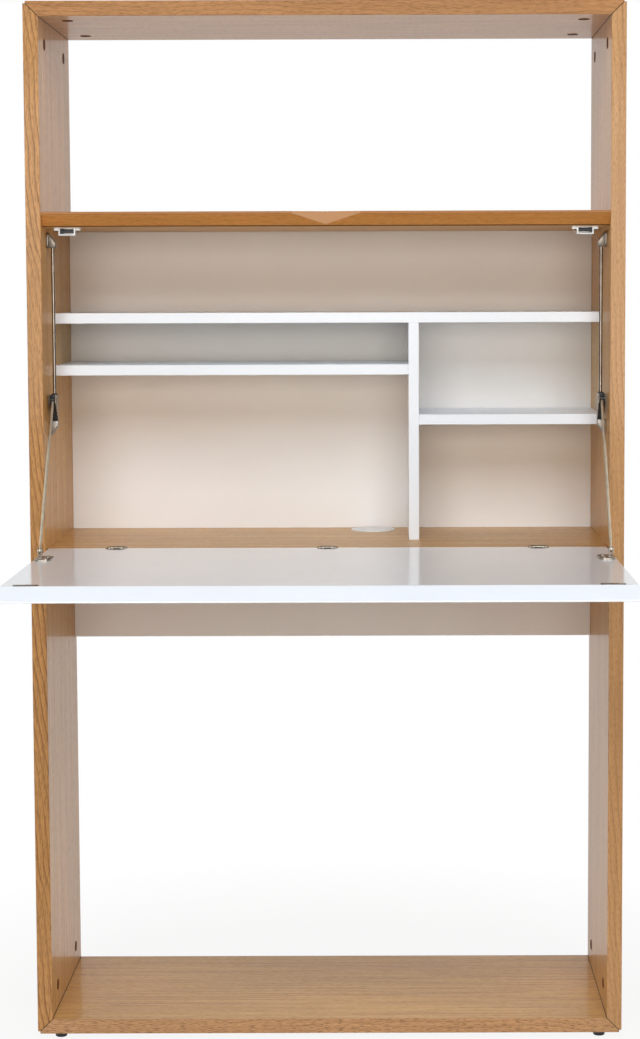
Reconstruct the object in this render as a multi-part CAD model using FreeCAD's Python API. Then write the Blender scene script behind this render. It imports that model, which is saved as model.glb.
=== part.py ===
import FreeCAD, Part
import os

# A free-standing oak frame that holds a cabinet whose front folds down as a desk.
# Millimetres. X points right, Y points to the back and Z points up.
# The origin is on the floor, at the centre of the frame's footprint. The flap is open.

# Oak frame boards
frame_width = 1000.0
frame_depth = 400.0
frame_height = 1747.0
board = 25.0
mitre_notch = 4.0
oak_ease = 0.5

# Cabinet between the sides
top_bay_clear = 322.0
cabinet_clear = 541.0
top_land = 4.0
notch_half_width = 54.0
notch_depth = 17.0
back_thickness = 18.0
back_inset = 5.0
apron_drop = 201.0

# White shelves and divider
shelf_thickness = 18.0
shelf_setback = 147.0
upper_shelf_rise = 396.0
left_shelf_rise = 306.0
right_shelf_rise = 219.0
divider_inset = 327.0
white_ease = 0.6

# Fold-down flap
flap_thickness = 23.0
flap_setback = 1.0
flap_side_gap = 2.5
flap_top_gap = 2.0
flap_tip_land = 2.0
joint_gap = 1.0

# Flap hinges: two cups cut off at the joint and a pin at the top of the joint
hinge_end_inset = 118.0
cup_dia = 35.0
cup_edge = 8.0
cup_depth = 11.0
cup_proud = 0.8
cup_joint_gap = 1.2
cup_fit = 0.1
dish_dia = 25.0
dish_edge = 6.0
dish_depth = 6.0
knuckle_dia = 6.0
knuckle_length = 10.0
knuckle_ear_length = 5.0
knuckle_gap = 0.4
neck_reach = 3.0
hinge_pin_dia = 3.0
running_fit = 0.05
cup_screw_spacing = 13.0
cup_screw_lead = 3.5

# Braked flap stays
stay_offset = 9.0
rod_dia = 6.0
rod_setback = 79.0
pivot_lead = 26.5
slider_rest_rise = 250.0
cage_width = 12.0
cage_sheet = 1.2
cage_height = 45.0
cage_drop = 36.5
cage_nose = 6.0
cage_back = 8.2
cage_foot = 4.0
stop_gap = 0.4
block_depth = 14.0
block_fit = 0.1
rod_running_fit = 0.08
rivet_dia = 8.0
rivet_height = 1.2
arm_dia = 5.0
arm_hub_dia = 10.0
arm_eye_dia = 10.0
arm_eye_width = 3.0
arm_neck_length = 9.0
slot_gap = 0.3
bracket_plate = 3.0
bracket_width = 26.0
bracket_boss = 14.0
bracket_height = 26.0
bracket_lip = 9.0
bracket_drop = 8.0
socket_depth = 7.0
bracket_screw_rise_share = 0.78

# Stay plates on the flap
flap_pivot_reach = 153.0
flap_pivot_height = 12.0
stay_plate_width = 26.0
stay_plate_length = 60.0
stay_plate_thickness = 2.5
stay_plate_lead = 12.0
stay_plate_margin = 2.5
lug_width = 10.0
lug_sheet = 1.6
clevis_pin_dia = 4.0
plate_screw_shares = (0.42, 0.66, 0.90)
plate_screw_side_shares = (0.28, 0.66, 0.28)

# Magnetic catches and strike plates
catch_offset = 40.0
catch_flange_width = 45.0
catch_flange_height = 5.5
catch_width = 28.0
catch_height = 14.0
catch_depth = 16.0
catch_wall = 2.6
catch_roof = 2.2
catch_gap = 0.4
pole_plate = 1.5
pole_proud = 0.8
magnet_margin = 2.0
catch_screw_inset = 4.2
strike_width = 38.0
strike_height = 12.0
strike_thickness = 1.2
strike_margin = 1.0
strike_screw_spacing = 20.0

# Cable grommet in the cabinet floor
grommet_divider_gap = 63.0
grommet_back_gap = 47.0
grommet_dia = 80.0
grommet_proud = 2.5
grommet_barrel_dia = 62.0
grommet_wall = 2.0
grommet_length = 20.0
grommet_ledge = 3.0
grommet_fit = 0.3
cap_thickness = 3.0
cap_gap = 0.3
cable_notch_width = 20.0
cable_notch_depth = 15.0

# Corner fittings of the frame
fitting_inset = 40.0
fitting_edge = 75.0
cam_dia = 15.0
cam_depth = 13.0
cam_fit = 0.1
cover_dia = 19.0
cover_height = 0.9
bolt_dia = 6.0
bolt_fit = 0.2

# Dowels
dowel_dia = 8.0
dowel_length = 28.0
dowel_side_depth = 12.0
divider_dowel_length = 18.0
divider_dowel_depth = 8.0
dowel_fit = 0.1
dowel_end_gap = 0.5
board_dowel_shares = (0.18, 0.50, 0.82)
shelf_dowel_shares = (0.25, 0.75)

# Screws
screw_head_dia = 6.0
screw_head_height = 1.6
screw_dia = 3.0
screw_length = 12.0
screw_slot = 1.0
screw_slot_depth = 0.7
screw_fit = 0.05
back_screw_length = 40.0
back_screw_shares = (0.12, 0.37, 0.63, 0.88)

# Glide feet
foot_height = 13.0
foot_top_dia = 24.0
foot_base_dia = 20.0
foot_side_inset = 36.0
foot_edge_inset = 32.0
foot_recess_dia = 9.0
foot_recess_depth = 8.0

# Cuts run this far past a face
overrun = 1.0

# Directions
ORIGIN = FreeCAD.Vector(0, 0, 0)
X_AXIS = FreeCAD.Vector(1, 0, 0)
Y_AXIS = FreeCAD.Vector(0, 1, 0)
Z_AXIS = FreeCAD.Vector(0, 0, 1)

# Planes of the frame
outer_x = frame_width / 2
inner_x = outer_x - board
front_y = -frame_depth / 2
back_y = frame_depth / 2
base_z = foot_height
crown_z = base_z + frame_height
bottom_top_z = base_z + board
top_under_z = crown_z - board

# Planes of the cabinet
cabinet_top_z = top_under_z - top_bay_clear
ceiling_z = cabinet_top_z - board
floor_z = ceiling_z - cabinet_clear
floor_under_z = floor_z - board
rear_face_y = back_y - back_inset
back_face_y = rear_face_y - back_thickness
shelf_front_y = front_y + shelf_setback
bevel_run = board - top_land
upper_shelf_z = floor_z + upper_shelf_rise
left_shelf_z = floor_z + left_shelf_rise
right_shelf_z = floor_z + right_shelf_rise
divider_offset = inner_x - divider_inset
divider_left_x = divider_offset - shelf_thickness / 2
divider_right_x = divider_offset + shelf_thickness / 2

# Hinge places along the joint
hinge_spacing = inner_x - hinge_end_inset

# The flap turns about the top edge of its joint with the floor
joint_y = front_y + flap_setback + flap_thickness
flap_under_z = floor_z - flap_thickness
flap_outer_length = cabinet_clear + bevel_run - flap_setback - flap_tip_land - flap_top_gap
flap_inner_length = flap_outer_length - (flap_thickness - flap_tip_land)
flap_half_width = inner_x - flap_side_gap
floor_edge_y = joint_y + joint_gap / 2
flap_edge_y = joint_y - joint_gap / 2

# Stay places, on the right-hand side
stay_x = inner_x - stay_offset
rod_y = front_y + rod_setback
slider_pivot_y = rod_y - pivot_lead
slider_pivot_z = floor_z + slider_rest_rise
cage_z = slider_pivot_z - cage_drop
cage_inner = cage_width - 2 * cage_sheet
lower_bracket_z = cage_z - stop_gap
top_bracket_z = ceiling_z - bracket_drop - bracket_height
flap_pivot_y = joint_y - flap_pivot_reach
flap_pivot_z = floor_z + flap_pivot_height

# Catch places
catch_x = inner_x - catch_offset
catch_face_y = joint_y + strike_thickness + catch_gap + pole_proud

# Grommet place, beside the divider
grommet_offset = divider_left_x - grommet_divider_gap
grommet_y = back_face_y - grommet_back_gap


def vec(x, y, z):
    """A point or a direction."""
    return FreeCAD.Vector(x, y, z)


def block(x0, x1, y0, y1, z0, z1):
    """A box between two planes on each axis."""
    return Part.makeBox(x1 - x0, y1 - y0, z1 - z0, vec(x0, y0, z0))


def bar(x, y, z, axis, radius, length):
    """A cylinder that starts at a point and runs along an axis."""
    return Part.makeCylinder(radius, length, vec(x, y, z), axis)


def profile_x(points, x0, x1):
    """An outline of (y, z) points drawn out along X."""
    loop = [vec(x0, y, z) for y, z in points]
    return Part.Face(Part.makePolygon(loop + loop[:1])).extrude(vec(x1 - x0, 0, 0))


def profile_y(points, y0, y1):
    """An outline of (x, z) points drawn out along Y."""
    loop = [vec(x, y0, z) for x, z in points]
    return Part.Face(Part.makePolygon(loop + loop[:1])).extrude(vec(0, y1 - y0, 0))


def profile_z(points, z0, z1):
    """An outline of (x, y) points drawn out along Z."""
    loop = [vec(x, y, z0) for x, y in points]
    return Part.Face(Part.makePolygon(loop + loop[:1])).extrude(vec(0, 0, z1 - z0))


def eased(solid, size):
    """A board with all its sharp edges taken off."""
    return solid.makeChamfer(size, solid.Edges)


def mirrored(shape):
    """The left-hand twin of a right-hand shape."""
    return shape.mirror(ORIGIN, X_AXIS)


def both_sides(shapes):
    """Right-hand shapes with their left-hand twins."""
    return shapes + [mirrored(shape) for shape in shapes]


def save(name, shapes):
    """Write one node, which holds one solid or a group of equal solids."""
    shape = shapes[0] if len(shapes) == 1 else Part.makeCompound(shapes)
    shape.exportStep(os.path.join("parts", name + ".step"))


def screw(x, y, z, axis, length=screw_length):
    """A slotted screw whose head sits on the point and whose shank runs along the axis."""
    head_start = vec(x, y, z) - axis * screw_head_height
    head = Part.makeCylinder(screw_head_dia / 2, screw_head_height, head_start, axis)
    side = Y_AXIS if abs(axis.y) < abs(axis.x) + abs(axis.z) else Z_AXIS
    across = axis.cross(side)
    corner = head_start - side * (screw_head_dia / 2 + overrun) - across * (screw_slot / 2)
    edges = [corner, corner + side * (screw_head_dia + 2 * overrun)]
    edges += [edges[1] + across * screw_slot, corner + across * screw_slot]
    slot = Part.Face(Part.makePolygon(edges + edges[:1])).extrude(axis * screw_slot_depth)
    shank = Part.makeCylinder(screw_dia / 2, length, vec(x, y, z), axis)
    return head.fuse(shank).cut(slot).removeSplitter()


def screw_hole(x, y, z, axis, length=screw_length):
    """The hole for a screw's shank, a little wider and longer than the shank."""
    start = vec(x, y, z) - axis * overrun
    return Part.makeCylinder(screw_dia / 2 + screw_fit, length + 2 * overrun, start, axis)


def side_board():
    """Right-hand side board, mitred at both ends, with the mitre tips cut square."""
    tip_x = outer_x - mitre_notch
    outline = [
        (inner_x, bottom_top_z),
        (tip_x, base_z + mitre_notch),
        (outer_x, base_z + mitre_notch),
        (outer_x, crown_z - mitre_notch),
        (tip_x, crown_z - mitre_notch),
        (inner_x, top_under_z),
    ]
    return eased(profile_y(outline, front_y, back_y), oak_ease)


def end_board(inner_z, outer_z, notch_z):
    """Top or bottom board between the mitres of the two sides."""
    tip_x = outer_x - mitre_notch
    outline = [
        (-inner_x, inner_z),
        (inner_x, inner_z),
        (tip_x, notch_z),
        (tip_x, outer_z),
        (-tip_x, outer_z),
        (-tip_x, notch_z),
    ]
    return eased(profile_y(outline, front_y, back_y), oak_ease)


def fitting_rows():
    """Depths of the corner fittings, near the front and near the back."""
    return (front_y + fitting_edge, back_y - fitting_edge)


def corner_bolt(y, inner_z, up, grow):
    """Angled bolt in one right-hand corner, grown on all sides to make its hole."""
    radius = bolt_dia / 2 + grow
    centre_x = inner_x + board / 2
    centre_z = inner_z + up * board / 2
    leg = fitting_inset + board / 2 + grow
    flat = bar(centre_x - leg, y, centre_z, X_AXIS, radius, leg)
    upright = bar(centre_x, y, centre_z - up * leg, Z_AXIS * up, radius, leg)
    knee = Part.makeSphere(radius, vec(centre_x, y, centre_z))
    return flat.fuse([upright, knee])


def side_cam(y, inner_z, up, grow):
    """Cam lock in the right-hand side board, below or above a corner."""
    z = inner_z - up * fitting_inset
    return bar(inner_x, y, z, X_AXIS, cam_dia / 2 + grow, cam_depth + grow)


def top_cam(y, grow):
    """Cam lock in the underside of the top board."""
    x = inner_x - fitting_inset
    return bar(x, y, top_under_z, Z_AXIS, cam_dia / 2 + grow, cam_depth + grow)


def side_cover(y, inner_z, up):
    """Round cap over a cam lock on the inner face of the side board."""
    z = inner_z - up * fitting_inset
    return bar(inner_x, y, z, -X_AXIS, cover_dia / 2, cover_height)


def top_cover(y):
    """Round cap over a cam lock on the underside of the top board."""
    x = inner_x - fitting_inset
    return bar(x, y, top_under_z, -Z_AXIS, cover_dia / 2, cover_height)


def end_dowels(z, half_length, y0, y1, shares, grow, length_grow):
    """Dowels from a board's right-hand end into the side board."""
    start = half_length + dowel_side_depth - dowel_length - length_grow
    run = dowel_length + 2 * length_grow
    rows = [y0 + share * (y1 - y0) for share in shares]
    return [bar(start, y, z, X_AXIS, dowel_dia / 2 + grow, run) for y in rows]


def divider_dowels(grow, length_grow):
    """Dowels between the divider and the shelves and boards that it meets."""
    radius = dowel_dia / 2 + grow
    run = divider_dowel_length + 2 * length_grow
    reach = divider_dowel_depth + length_grow
    left_z = left_shelf_z - shelf_thickness / 2
    right_z = right_shelf_z - shelf_thickness / 2
    top_z = upper_shelf_z - shelf_thickness
    rows = [shelf_front_y + share * (back_face_y - shelf_front_y) for share in shelf_dowel_shares]
    dowels = []
    for y in rows:
        dowels.append(bar(divider_left_x + reach, y, left_z, -X_AXIS, radius, run))
        dowels.append(bar(divider_right_x - reach, y, right_z, X_AXIS, radius, run))
        dowels.append(bar(divider_offset, y, floor_z - reach, Z_AXIS, radius, run))
        dowels.append(bar(divider_offset, y, top_z + reach, -Z_AXIS, radius, run))
    return dowels


def all_dowels(grow, length_grow):
    """Every dowel of the cabinet, or every dowel hole when grown."""
    mid = board / 2
    half_shelf = shelf_thickness / 2
    top = end_dowels(
        ceiling_z + mid, inner_x, front_y, rear_face_y, board_dowel_shares, grow, length_grow
    )
    floor = end_dowels(
        floor_z - mid, inner_x, floor_edge_y, back_face_y, board_dowel_shares, grow, length_grow
    )
    upper = end_dowels(
        upper_shelf_z - half_shelf, inner_x, shelf_front_y, back_face_y,
        shelf_dowel_shares, grow, length_grow,
    )
    left = end_dowels(
        left_shelf_z - half_shelf, inner_x, shelf_front_y, back_face_y,
        shelf_dowel_shares, grow, length_grow,
    )
    right = end_dowels(
        right_shelf_z - half_shelf, inner_x, shelf_front_y, back_face_y,
        shelf_dowel_shares, grow, length_grow,
    )
    paired = both_sides(top + floor + upper)
    return paired + right + [mirrored(dowel) for dowel in left] + divider_dowels(grow, length_grow)


def cabinet_top():
    """Cabinet top with a bevelled front and a finger notch in the bevel."""
    outline = [
        (front_y, cabinet_top_z),
        (front_y, ceiling_z + bevel_run),
        (front_y + bevel_run, ceiling_z),
        (rear_face_y, ceiling_z),
        (rear_face_y, cabinet_top_z),
    ]
    panel = eased(profile_x(outline, -inner_x, inner_x), oak_ease)
    slope = notch_half_width / notch_depth
    wide = notch_half_width + overrun * slope
    notch = [(-wide, front_y - overrun), (wide, front_y - overrun), (0, front_y + notch_depth)]
    return panel.cut(profile_z(notch, ceiling_z - overrun, cabinet_top_z + overrun))


def flap():
    """Flap with a bevelled front edge, lying open."""
    outline = [
        (flap_edge_y, floor_z),
        (joint_y - flap_inner_length, floor_z),
        (joint_y - flap_outer_length, flap_under_z + flap_tip_land),
        (joint_y - flap_outer_length, flap_under_z),
        (flap_edge_y, flap_under_z),
    ]
    return eased(profile_x(outline, -flap_half_width, flap_half_width), white_ease)


def cup_blank(x, way, radius, rise):
    """A round cup blank; way is 1 in the floor and -1 in the flap."""
    return bar(x, joint_y + way * cup_edge, floor_z - cup_depth, Z_AXIS, radius, cup_depth + rise)


def beyond_joint(x, way, distance):
    """The space on one side of the joint, further away than a distance."""
    far = joint_y + way * (cup_edge + cup_dia)
    near = joint_y + way * distance
    low = floor_z - cup_depth - overrun
    return block(x - cup_dia, x + cup_dia, min(near, far), max(near, far), low, floor_z + cup_dia)


def cup_screw_places(x, way):
    """Screw places in the dish of one cup."""
    y = joint_y + way * (cup_edge + cup_screw_lead)
    z = floor_z - dish_depth
    return [(x + side * cup_screw_spacing / 2, y, z) for side in (-1, 1)]


def hinge_cup(x, way):
    """One half of a hinge: a dished cup with its knuckles on the joint line."""
    cup = cup_blank(x, way, cup_dia / 2, cup_proud).common(beyond_joint(x, way, cup_joint_gap))
    dish_z = floor_z - dish_depth
    dish = bar(x, joint_y + way * cup_edge, dish_z, Z_AXIS, dish_dia / 2, dish_depth + cup_proud + overrun)
    cup = cup.cut(dish.common(beyond_joint(x, way, dish_edge)))
    knuckle_r = knuckle_dia / 2
    half = knuckle_length / 2
    ears = [(-half - knuckle_gap - knuckle_ear_length, -half - knuckle_gap)]
    ears.append((half + knuckle_gap, half + knuckle_gap + knuckle_ear_length))
    own = [(-half, half)] if way > 0 else ears
    other = ears if way > 0 else [(-half, half)]
    for x0, x1 in other:
        relief_x = x + x0 - knuckle_gap
        relief_length = x1 - x0 + 2 * knuckle_gap
        cup = cup.cut(bar(relief_x, joint_y, floor_z, X_AXIS, knuckle_r + knuckle_gap, relief_length))
    near, far = sorted((joint_y, joint_y + way * (cup_joint_gap + neck_reach)))
    for x0, x1 in own:
        neck = block(x + x0, x + x1, near, far, floor_z - knuckle_r, floor_z)
        barrel = bar(x + x0, joint_y, floor_z, X_AXIS, knuckle_r, x1 - x0)
        cup = cup.fuse([neck, barrel])
    reach = half + knuckle_gap + knuckle_ear_length + overrun
    bore = bar(x - reach, joint_y, floor_z, X_AXIS, hinge_pin_dia / 2 + running_fit, 2 * reach)
    holes = [screw_hole(*place, -Z_AXIS) for place in cup_screw_places(x, way)]
    return cup.cut([bore] + holes).removeSplitter()


def hinge_pin(x):
    """Pin through the knuckles of one hinge."""
    half = knuckle_length / 2 + knuckle_gap + knuckle_ear_length
    return bar(x - half, joint_y, floor_z, X_AXIS, hinge_pin_dia / 2, 2 * half)


def stay_bracket(z0, flip):
    """Zinc bracket that holds one end of the guide rod; flip turns it upside down."""
    z1 = z0 + bracket_height
    lip_z = z1 - bracket_lip if flip else z0 + bracket_lip
    near_z, far_z = (z1, z0) if flip else (z0, z1)
    boss_x = stay_x - cage_width / 2
    outline = [
        (inner_x, near_z),
        (boss_x, near_z),
        (boss_x, lip_z),
        (inner_x - bracket_plate, far_z),
        (inner_x, far_z),
    ]
    boss = profile_y(outline, rod_y - bracket_boss / 2, rod_y + bracket_boss / 2)
    wide = bracket_width / 2
    plate = block(inner_x - bracket_plate, inner_x, rod_y - wide, rod_y + wide, z0, z1)
    socket_z = z1 - socket_depth if flip else z0 - overrun
    socket = bar(stay_x, rod_y, socket_z, Z_AXIS, rod_dia / 2 + running_fit, socket_depth + overrun)
    holes = [screw_hole(*place, X_AXIS) for place in bracket_screw_places(z0)]
    return boss.fuse(plate).cut([socket] + holes).removeSplitter()


def bracket_screw_places(z0):
    """Screw places on the ears of a stay bracket."""
    ear = (bracket_width + bracket_boss) / 4
    low_share = 1 - bracket_screw_rise_share
    places = [(rod_y - ear, bracket_screw_rise_share), (rod_y + ear, low_share)]
    return [(inner_x - bracket_plate, y, z0 + share * bracket_height) for y, share in places]


def guide_rod():
    """Guide rod between the sockets of the two brackets."""
    z0 = lower_bracket_z - socket_depth
    z1 = top_bracket_z + socket_depth
    return bar(stay_x, rod_y, z0, Z_AXIS, rod_dia / 2, z1 - z0)


def slider_cage():
    """Bent sheet cage round the brake block, with rivet heads at the arm's pivot."""
    z1 = cage_z + cage_height
    rear = rod_y + cage_back
    nose = slider_pivot_y - cage_nose
    cheek = [
        (rear, cage_z),
        (rod_y - cage_foot, cage_z),
        (nose, slider_pivot_z - cage_nose),
        (nose, z1),
        (rear, z1),
    ]
    outer = cage_width / 2
    inner = cage_inner / 2
    cage = profile_x(cheek, stay_x - outer, stay_x + outer)
    slot = block(
        stay_x - inner, stay_x + inner, nose - overrun, rear - cage_sheet, cage_z - overrun, z1 + overrun
    )
    cage = cage.cut(slot)
    right = bar(stay_x + outer, slider_pivot_y, slider_pivot_z, X_AXIS, rivet_dia / 2, rivet_height)
    left = bar(stay_x - outer, slider_pivot_y, slider_pivot_z, -X_AXIS, rivet_dia / 2, rivet_height)
    return cage.fuse([right, left]).removeSplitter()


def brake_block():
    """Plastic brake block that runs on the guide rod inside the cage."""
    half = cage_inner / 2 - block_fit
    rear = rod_y + cage_back - cage_sheet
    body = block(stay_x - half, stay_x + half, rear - block_depth, rear, cage_z, cage_z + cage_height)
    bore = bar(
        stay_x, rod_y, cage_z - overrun, Z_AXIS, rod_dia / 2 + rod_running_fit, cage_height + 2 * overrun
    )
    return body.cut(bore)


def stay_arm():
    """Arm from the clevis on the flap to the slider, a hub at the top and a flat eye below."""
    foot = vec(stay_x, flap_pivot_y, flap_pivot_z)
    head = vec(stay_x, slider_pivot_y, slider_pivot_z)
    along = (head - foot).normalize()
    across = X_AXIS.cross(along)
    hub_width = cage_inner - 2 * slot_gap
    hub = bar(stay_x - hub_width / 2, head.y, head.z, X_AXIS, arm_hub_dia / 2, hub_width)
    eye = bar(stay_x - arm_eye_width / 2, foot.y, foot.z, X_AXIS, arm_eye_dia / 2, arm_eye_width)
    start = foot + along * arm_neck_length
    rod = Part.makeCylinder(arm_dia / 2, (head - start).Length, start, along)
    corner = foot - X_AXIS * (arm_eye_width / 2) - across * (arm_dia / 2)
    sides = [corner, corner + across * arm_dia]
    sides += [sides[1] + X_AXIS * arm_eye_width, corner + X_AXIS * arm_eye_width]
    neck = Part.Face(Part.makePolygon(sides + sides[:1])).extrude(along * (arm_neck_length + arm_dia))
    bore_x = stay_x - arm_eye_width / 2 - overrun
    bore_length = arm_eye_width + 2 * overrun
    bore = bar(bore_x, foot.y, foot.z, X_AXIS, clevis_pin_dia / 2 + running_fit, bore_length)
    return hub.fuse([rod, neck, eye]).cut(bore).removeSplitter()


def clevis_half():
    """Half the width of the clevis over its two lugs."""
    return arm_eye_width / 2 + slot_gap + lug_sheet


def stay_plate_screw_places():
    """Screw places on the stay plate of the flap."""
    x0 = flap_half_width - stay_plate_margin - stay_plate_width
    y0 = flap_pivot_y + stay_plate_lead
    z = floor_z + stay_plate_thickness
    shares = zip(plate_screw_side_shares, plate_screw_shares)
    return [(x0 + side * stay_plate_width, y0 - run * stay_plate_length, z) for side, run in shares]


def stay_plate():
    """Plate on the flap with the two lugs of the clevis."""
    x1 = flap_half_width - stay_plate_margin
    y1 = flap_pivot_y + stay_plate_lead
    top = floor_z + stay_plate_thickness
    plate = block(x1 - stay_plate_width, x1, y1 - stay_plate_length, y1, floor_z, top)
    half = lug_width / 2
    inner = arm_eye_width / 2 + slot_gap
    lugs = []
    for x0 in (stay_x - clevis_half(), stay_x + inner):
        stem = block(x0, x0 + lug_sheet, flap_pivot_y - half, flap_pivot_y + half, floor_z, flap_pivot_z)
        lugs += [stem, bar(x0, flap_pivot_y, flap_pivot_z, X_AXIS, half, lug_sheet)]
    bore = bar(
        stay_x - clevis_half() - overrun, flap_pivot_y, flap_pivot_z, X_AXIS,
        clevis_pin_dia / 2, 2 * (clevis_half() + overrun),
    )
    holes = [screw_hole(*place, -Z_AXIS) for place in stay_plate_screw_places()]
    return plate.fuse(lugs).cut([bore] + holes).removeSplitter()


def clevis_pin():
    """Pin through the clevis and the eye of the arm."""
    half = clevis_half()
    return bar(stay_x - half, flap_pivot_y, flap_pivot_z, X_AXIS, clevis_pin_dia / 2, 2 * half)


def catch_cavity():
    """Hollow of a catch: its half width, its rear plane, and its lower and upper planes."""
    low = ceiling_z - catch_height + catch_wall
    return (catch_width / 2 - catch_wall, catch_face_y + catch_depth - catch_wall, low, ceiling_z - catch_roof)


def catch_screw_places():
    """Screw places in the ears of a catch."""
    reach = catch_flange_width / 2 - catch_screw_inset
    y = catch_face_y + catch_depth / 2
    z = ceiling_z - catch_flange_height
    return [(catch_x + side * reach, y, z) for side in (-1, 1)]


def catch_housing():
    """Plastic housing of a magnetic catch under the cabinet top."""
    wide = catch_flange_width / 2
    rear = catch_face_y + catch_depth
    flange = block(
        catch_x - wide, catch_x + wide, catch_face_y, rear, ceiling_z - catch_flange_height, ceiling_z
    )
    half = catch_width / 2
    body = block(catch_x - half, catch_x + half, catch_face_y, rear, ceiling_z - catch_height, ceiling_z)
    hollow_half, hollow_rear, low, high = catch_cavity()
    hollow = block(
        catch_x - hollow_half, catch_x + hollow_half, catch_face_y - overrun, hollow_rear, low, high
    )
    holes = [screw_hole(*place, Z_AXIS) for place in catch_screw_places()]
    return flange.fuse(body).cut([hollow] + holes).removeSplitter()


def catch_pole_plates():
    """Two steel pole plates of a catch, which stand a little proud of the housing."""
    half, rear, low, high = catch_cavity()
    front = catch_face_y - pole_proud
    x0, x1 = catch_x - half, catch_x + half
    lower = block(x0, x1, front, rear, low, low + pole_plate)
    upper = block(x0, x1, front, rear, high - pole_plate, high)
    return [lower, upper]


def catch_magnet():
    """Magnet between the two pole plates."""
    half, rear, low, high = catch_cavity()
    x0, x1 = catch_x - half, catch_x + half
    return block(x0, x1, catch_face_y + magnet_margin, rear, low + pole_plate, high - pole_plate)


def strike_screw_places():
    """Screw places on a strike plate."""
    y = joint_y - flap_inner_length + strike_margin + strike_height / 2
    z = floor_z + strike_thickness
    return [(catch_x + side * strike_screw_spacing / 2, y, z) for side in (-1, 1)]


def strike_plate():
    """Strike plate at the front edge of the flap."""
    y0 = joint_y - flap_inner_length + strike_margin
    wide = strike_width / 2
    plate = block(
        catch_x - wide, catch_x + wide, y0, y0 + strike_height, floor_z, floor_z + strike_thickness
    )
    return plate.cut([screw_hole(*place, -Z_AXIS) for place in strike_screw_places()])


def strike_screw(place):
    """Flat screw let into the strike plate, level with its face."""
    x, y, z = place
    return bar(x, y, z, -Z_AXIS, screw_dia / 2, screw_length)


def grommet_ring():
    """Grommet ring: a flange on the floor, a barrel in the hole and a ledge for the cap."""
    barrel_r = grommet_barrel_dia / 2
    cap_seat_z = floor_z + grommet_proud - cap_thickness - cap_gap
    flange = bar(grommet_offset, grommet_y, floor_z, Z_AXIS, grommet_dia / 2, grommet_proud)
    rim = [edge for edge in flange.Edges if edge.BoundBox.ZMin > floor_z + grommet_proud / 2]
    flange = flange.makeFillet(grommet_proud / 2, rim)
    barrel = bar(grommet_offset, grommet_y, floor_z, -Z_AXIS, barrel_r, grommet_length)
    inner_r = barrel_r - grommet_wall
    low_z = floor_z - grommet_length - overrun
    seat_height = floor_z + grommet_proud - cap_seat_z + overrun
    seat = bar(grommet_offset, grommet_y, cap_seat_z, Z_AXIS, inner_r, seat_height)
    way = bar(
        grommet_offset, grommet_y, low_z, Z_AXIS, inner_r - grommet_ledge, floor_z - low_z + overrun
    )
    return flange.fuse(barrel).cut([seat, way]).removeSplitter()


def grommet_cap():
    """Turning cap of the grommet, with a cable notch that starts at the back."""
    radius = grommet_barrel_dia / 2 - grommet_wall - grommet_fit
    top_z = floor_z + grommet_proud
    disc = bar(grommet_offset, grommet_y, top_z - cap_thickness, Z_AXIS, radius, cap_thickness)
    half = cable_notch_width / 2
    deep_y = grommet_y + radius - cable_notch_depth
    low_z = top_z - cap_thickness - overrun
    high_z = top_z + overrun
    mouth = block(
        grommet_offset - half, grommet_offset + half, deep_y + half, grommet_y + radius + overrun,
        low_z, high_z,
    )
    bend = bar(grommet_offset, deep_y + half, low_z, Z_AXIS, half, high_z - low_z)
    return disc.cut(mouth.fuse(bend))


def foot_places():
    """Centres of the four feet, named by corner."""
    x = outer_x - foot_side_inset
    y0 = front_y + foot_edge_inset
    y1 = back_y - foot_edge_inset
    corners = {"front_left": (-x, y0), "front_right": (x, y0), "back_left": (-x, y1)}
    corners["back_right"] = (x, y1)
    return corners


def foot(x, y):
    """Tapered glide foot with a recess for its screw."""
    cone = Part.makeCone(foot_base_dia / 2, foot_top_dia / 2, foot_height, vec(x, y, 0), Z_AXIS)
    recess = bar(x, y, -overrun, Z_AXIS, foot_recess_dia / 2, foot_recess_depth + overrun)
    return cone.cut([recess, screw_hole(x, y, foot_recess_depth, Z_AXIS)])


def back_screw_places():
    """Screw places on the back panel, behind the floor and the upper shelf."""
    rows = (floor_z - board / 2, upper_shelf_z - shelf_thickness / 2)
    xs = [inner_x * (2 * share - 1) for share in back_screw_shares]
    return [(x, rear_face_y, z) for z in rows for x in xs]


os.makedirs("parts", exist_ok=True)

# Corner fittings and the holes that they need
side_ends = [(top_under_z, 1), (bottom_top_z, -1)]
corner_places = [(y, inner_z, up) for inner_z, up in side_ends for y in fitting_rows()]
bolts = [corner_bolt(*place, 0) for place in corner_places]
bolt_holes = [corner_bolt(*place, bolt_fit) for place in corner_places]
side_cams = [side_cam(*place, 0) for place in corner_places]
side_cam_holes = [side_cam(*place, cam_fit) for place in corner_places]
top_cams = [top_cam(y, 0) for y in fitting_rows()]
top_cam_holes = [top_cam(y, cam_fit) for y in fitting_rows()]
covers = [side_cover(*place) for place in corner_places] + [top_cover(y) for y in fitting_rows()]
cams = [cam.cut(bolt_holes) for cam in side_cams + top_cams]

# Dowels and their holes
dowels = all_dowels(0, 0)
dowel_holes = all_dowels(dowel_fit, dowel_end_gap)

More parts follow.
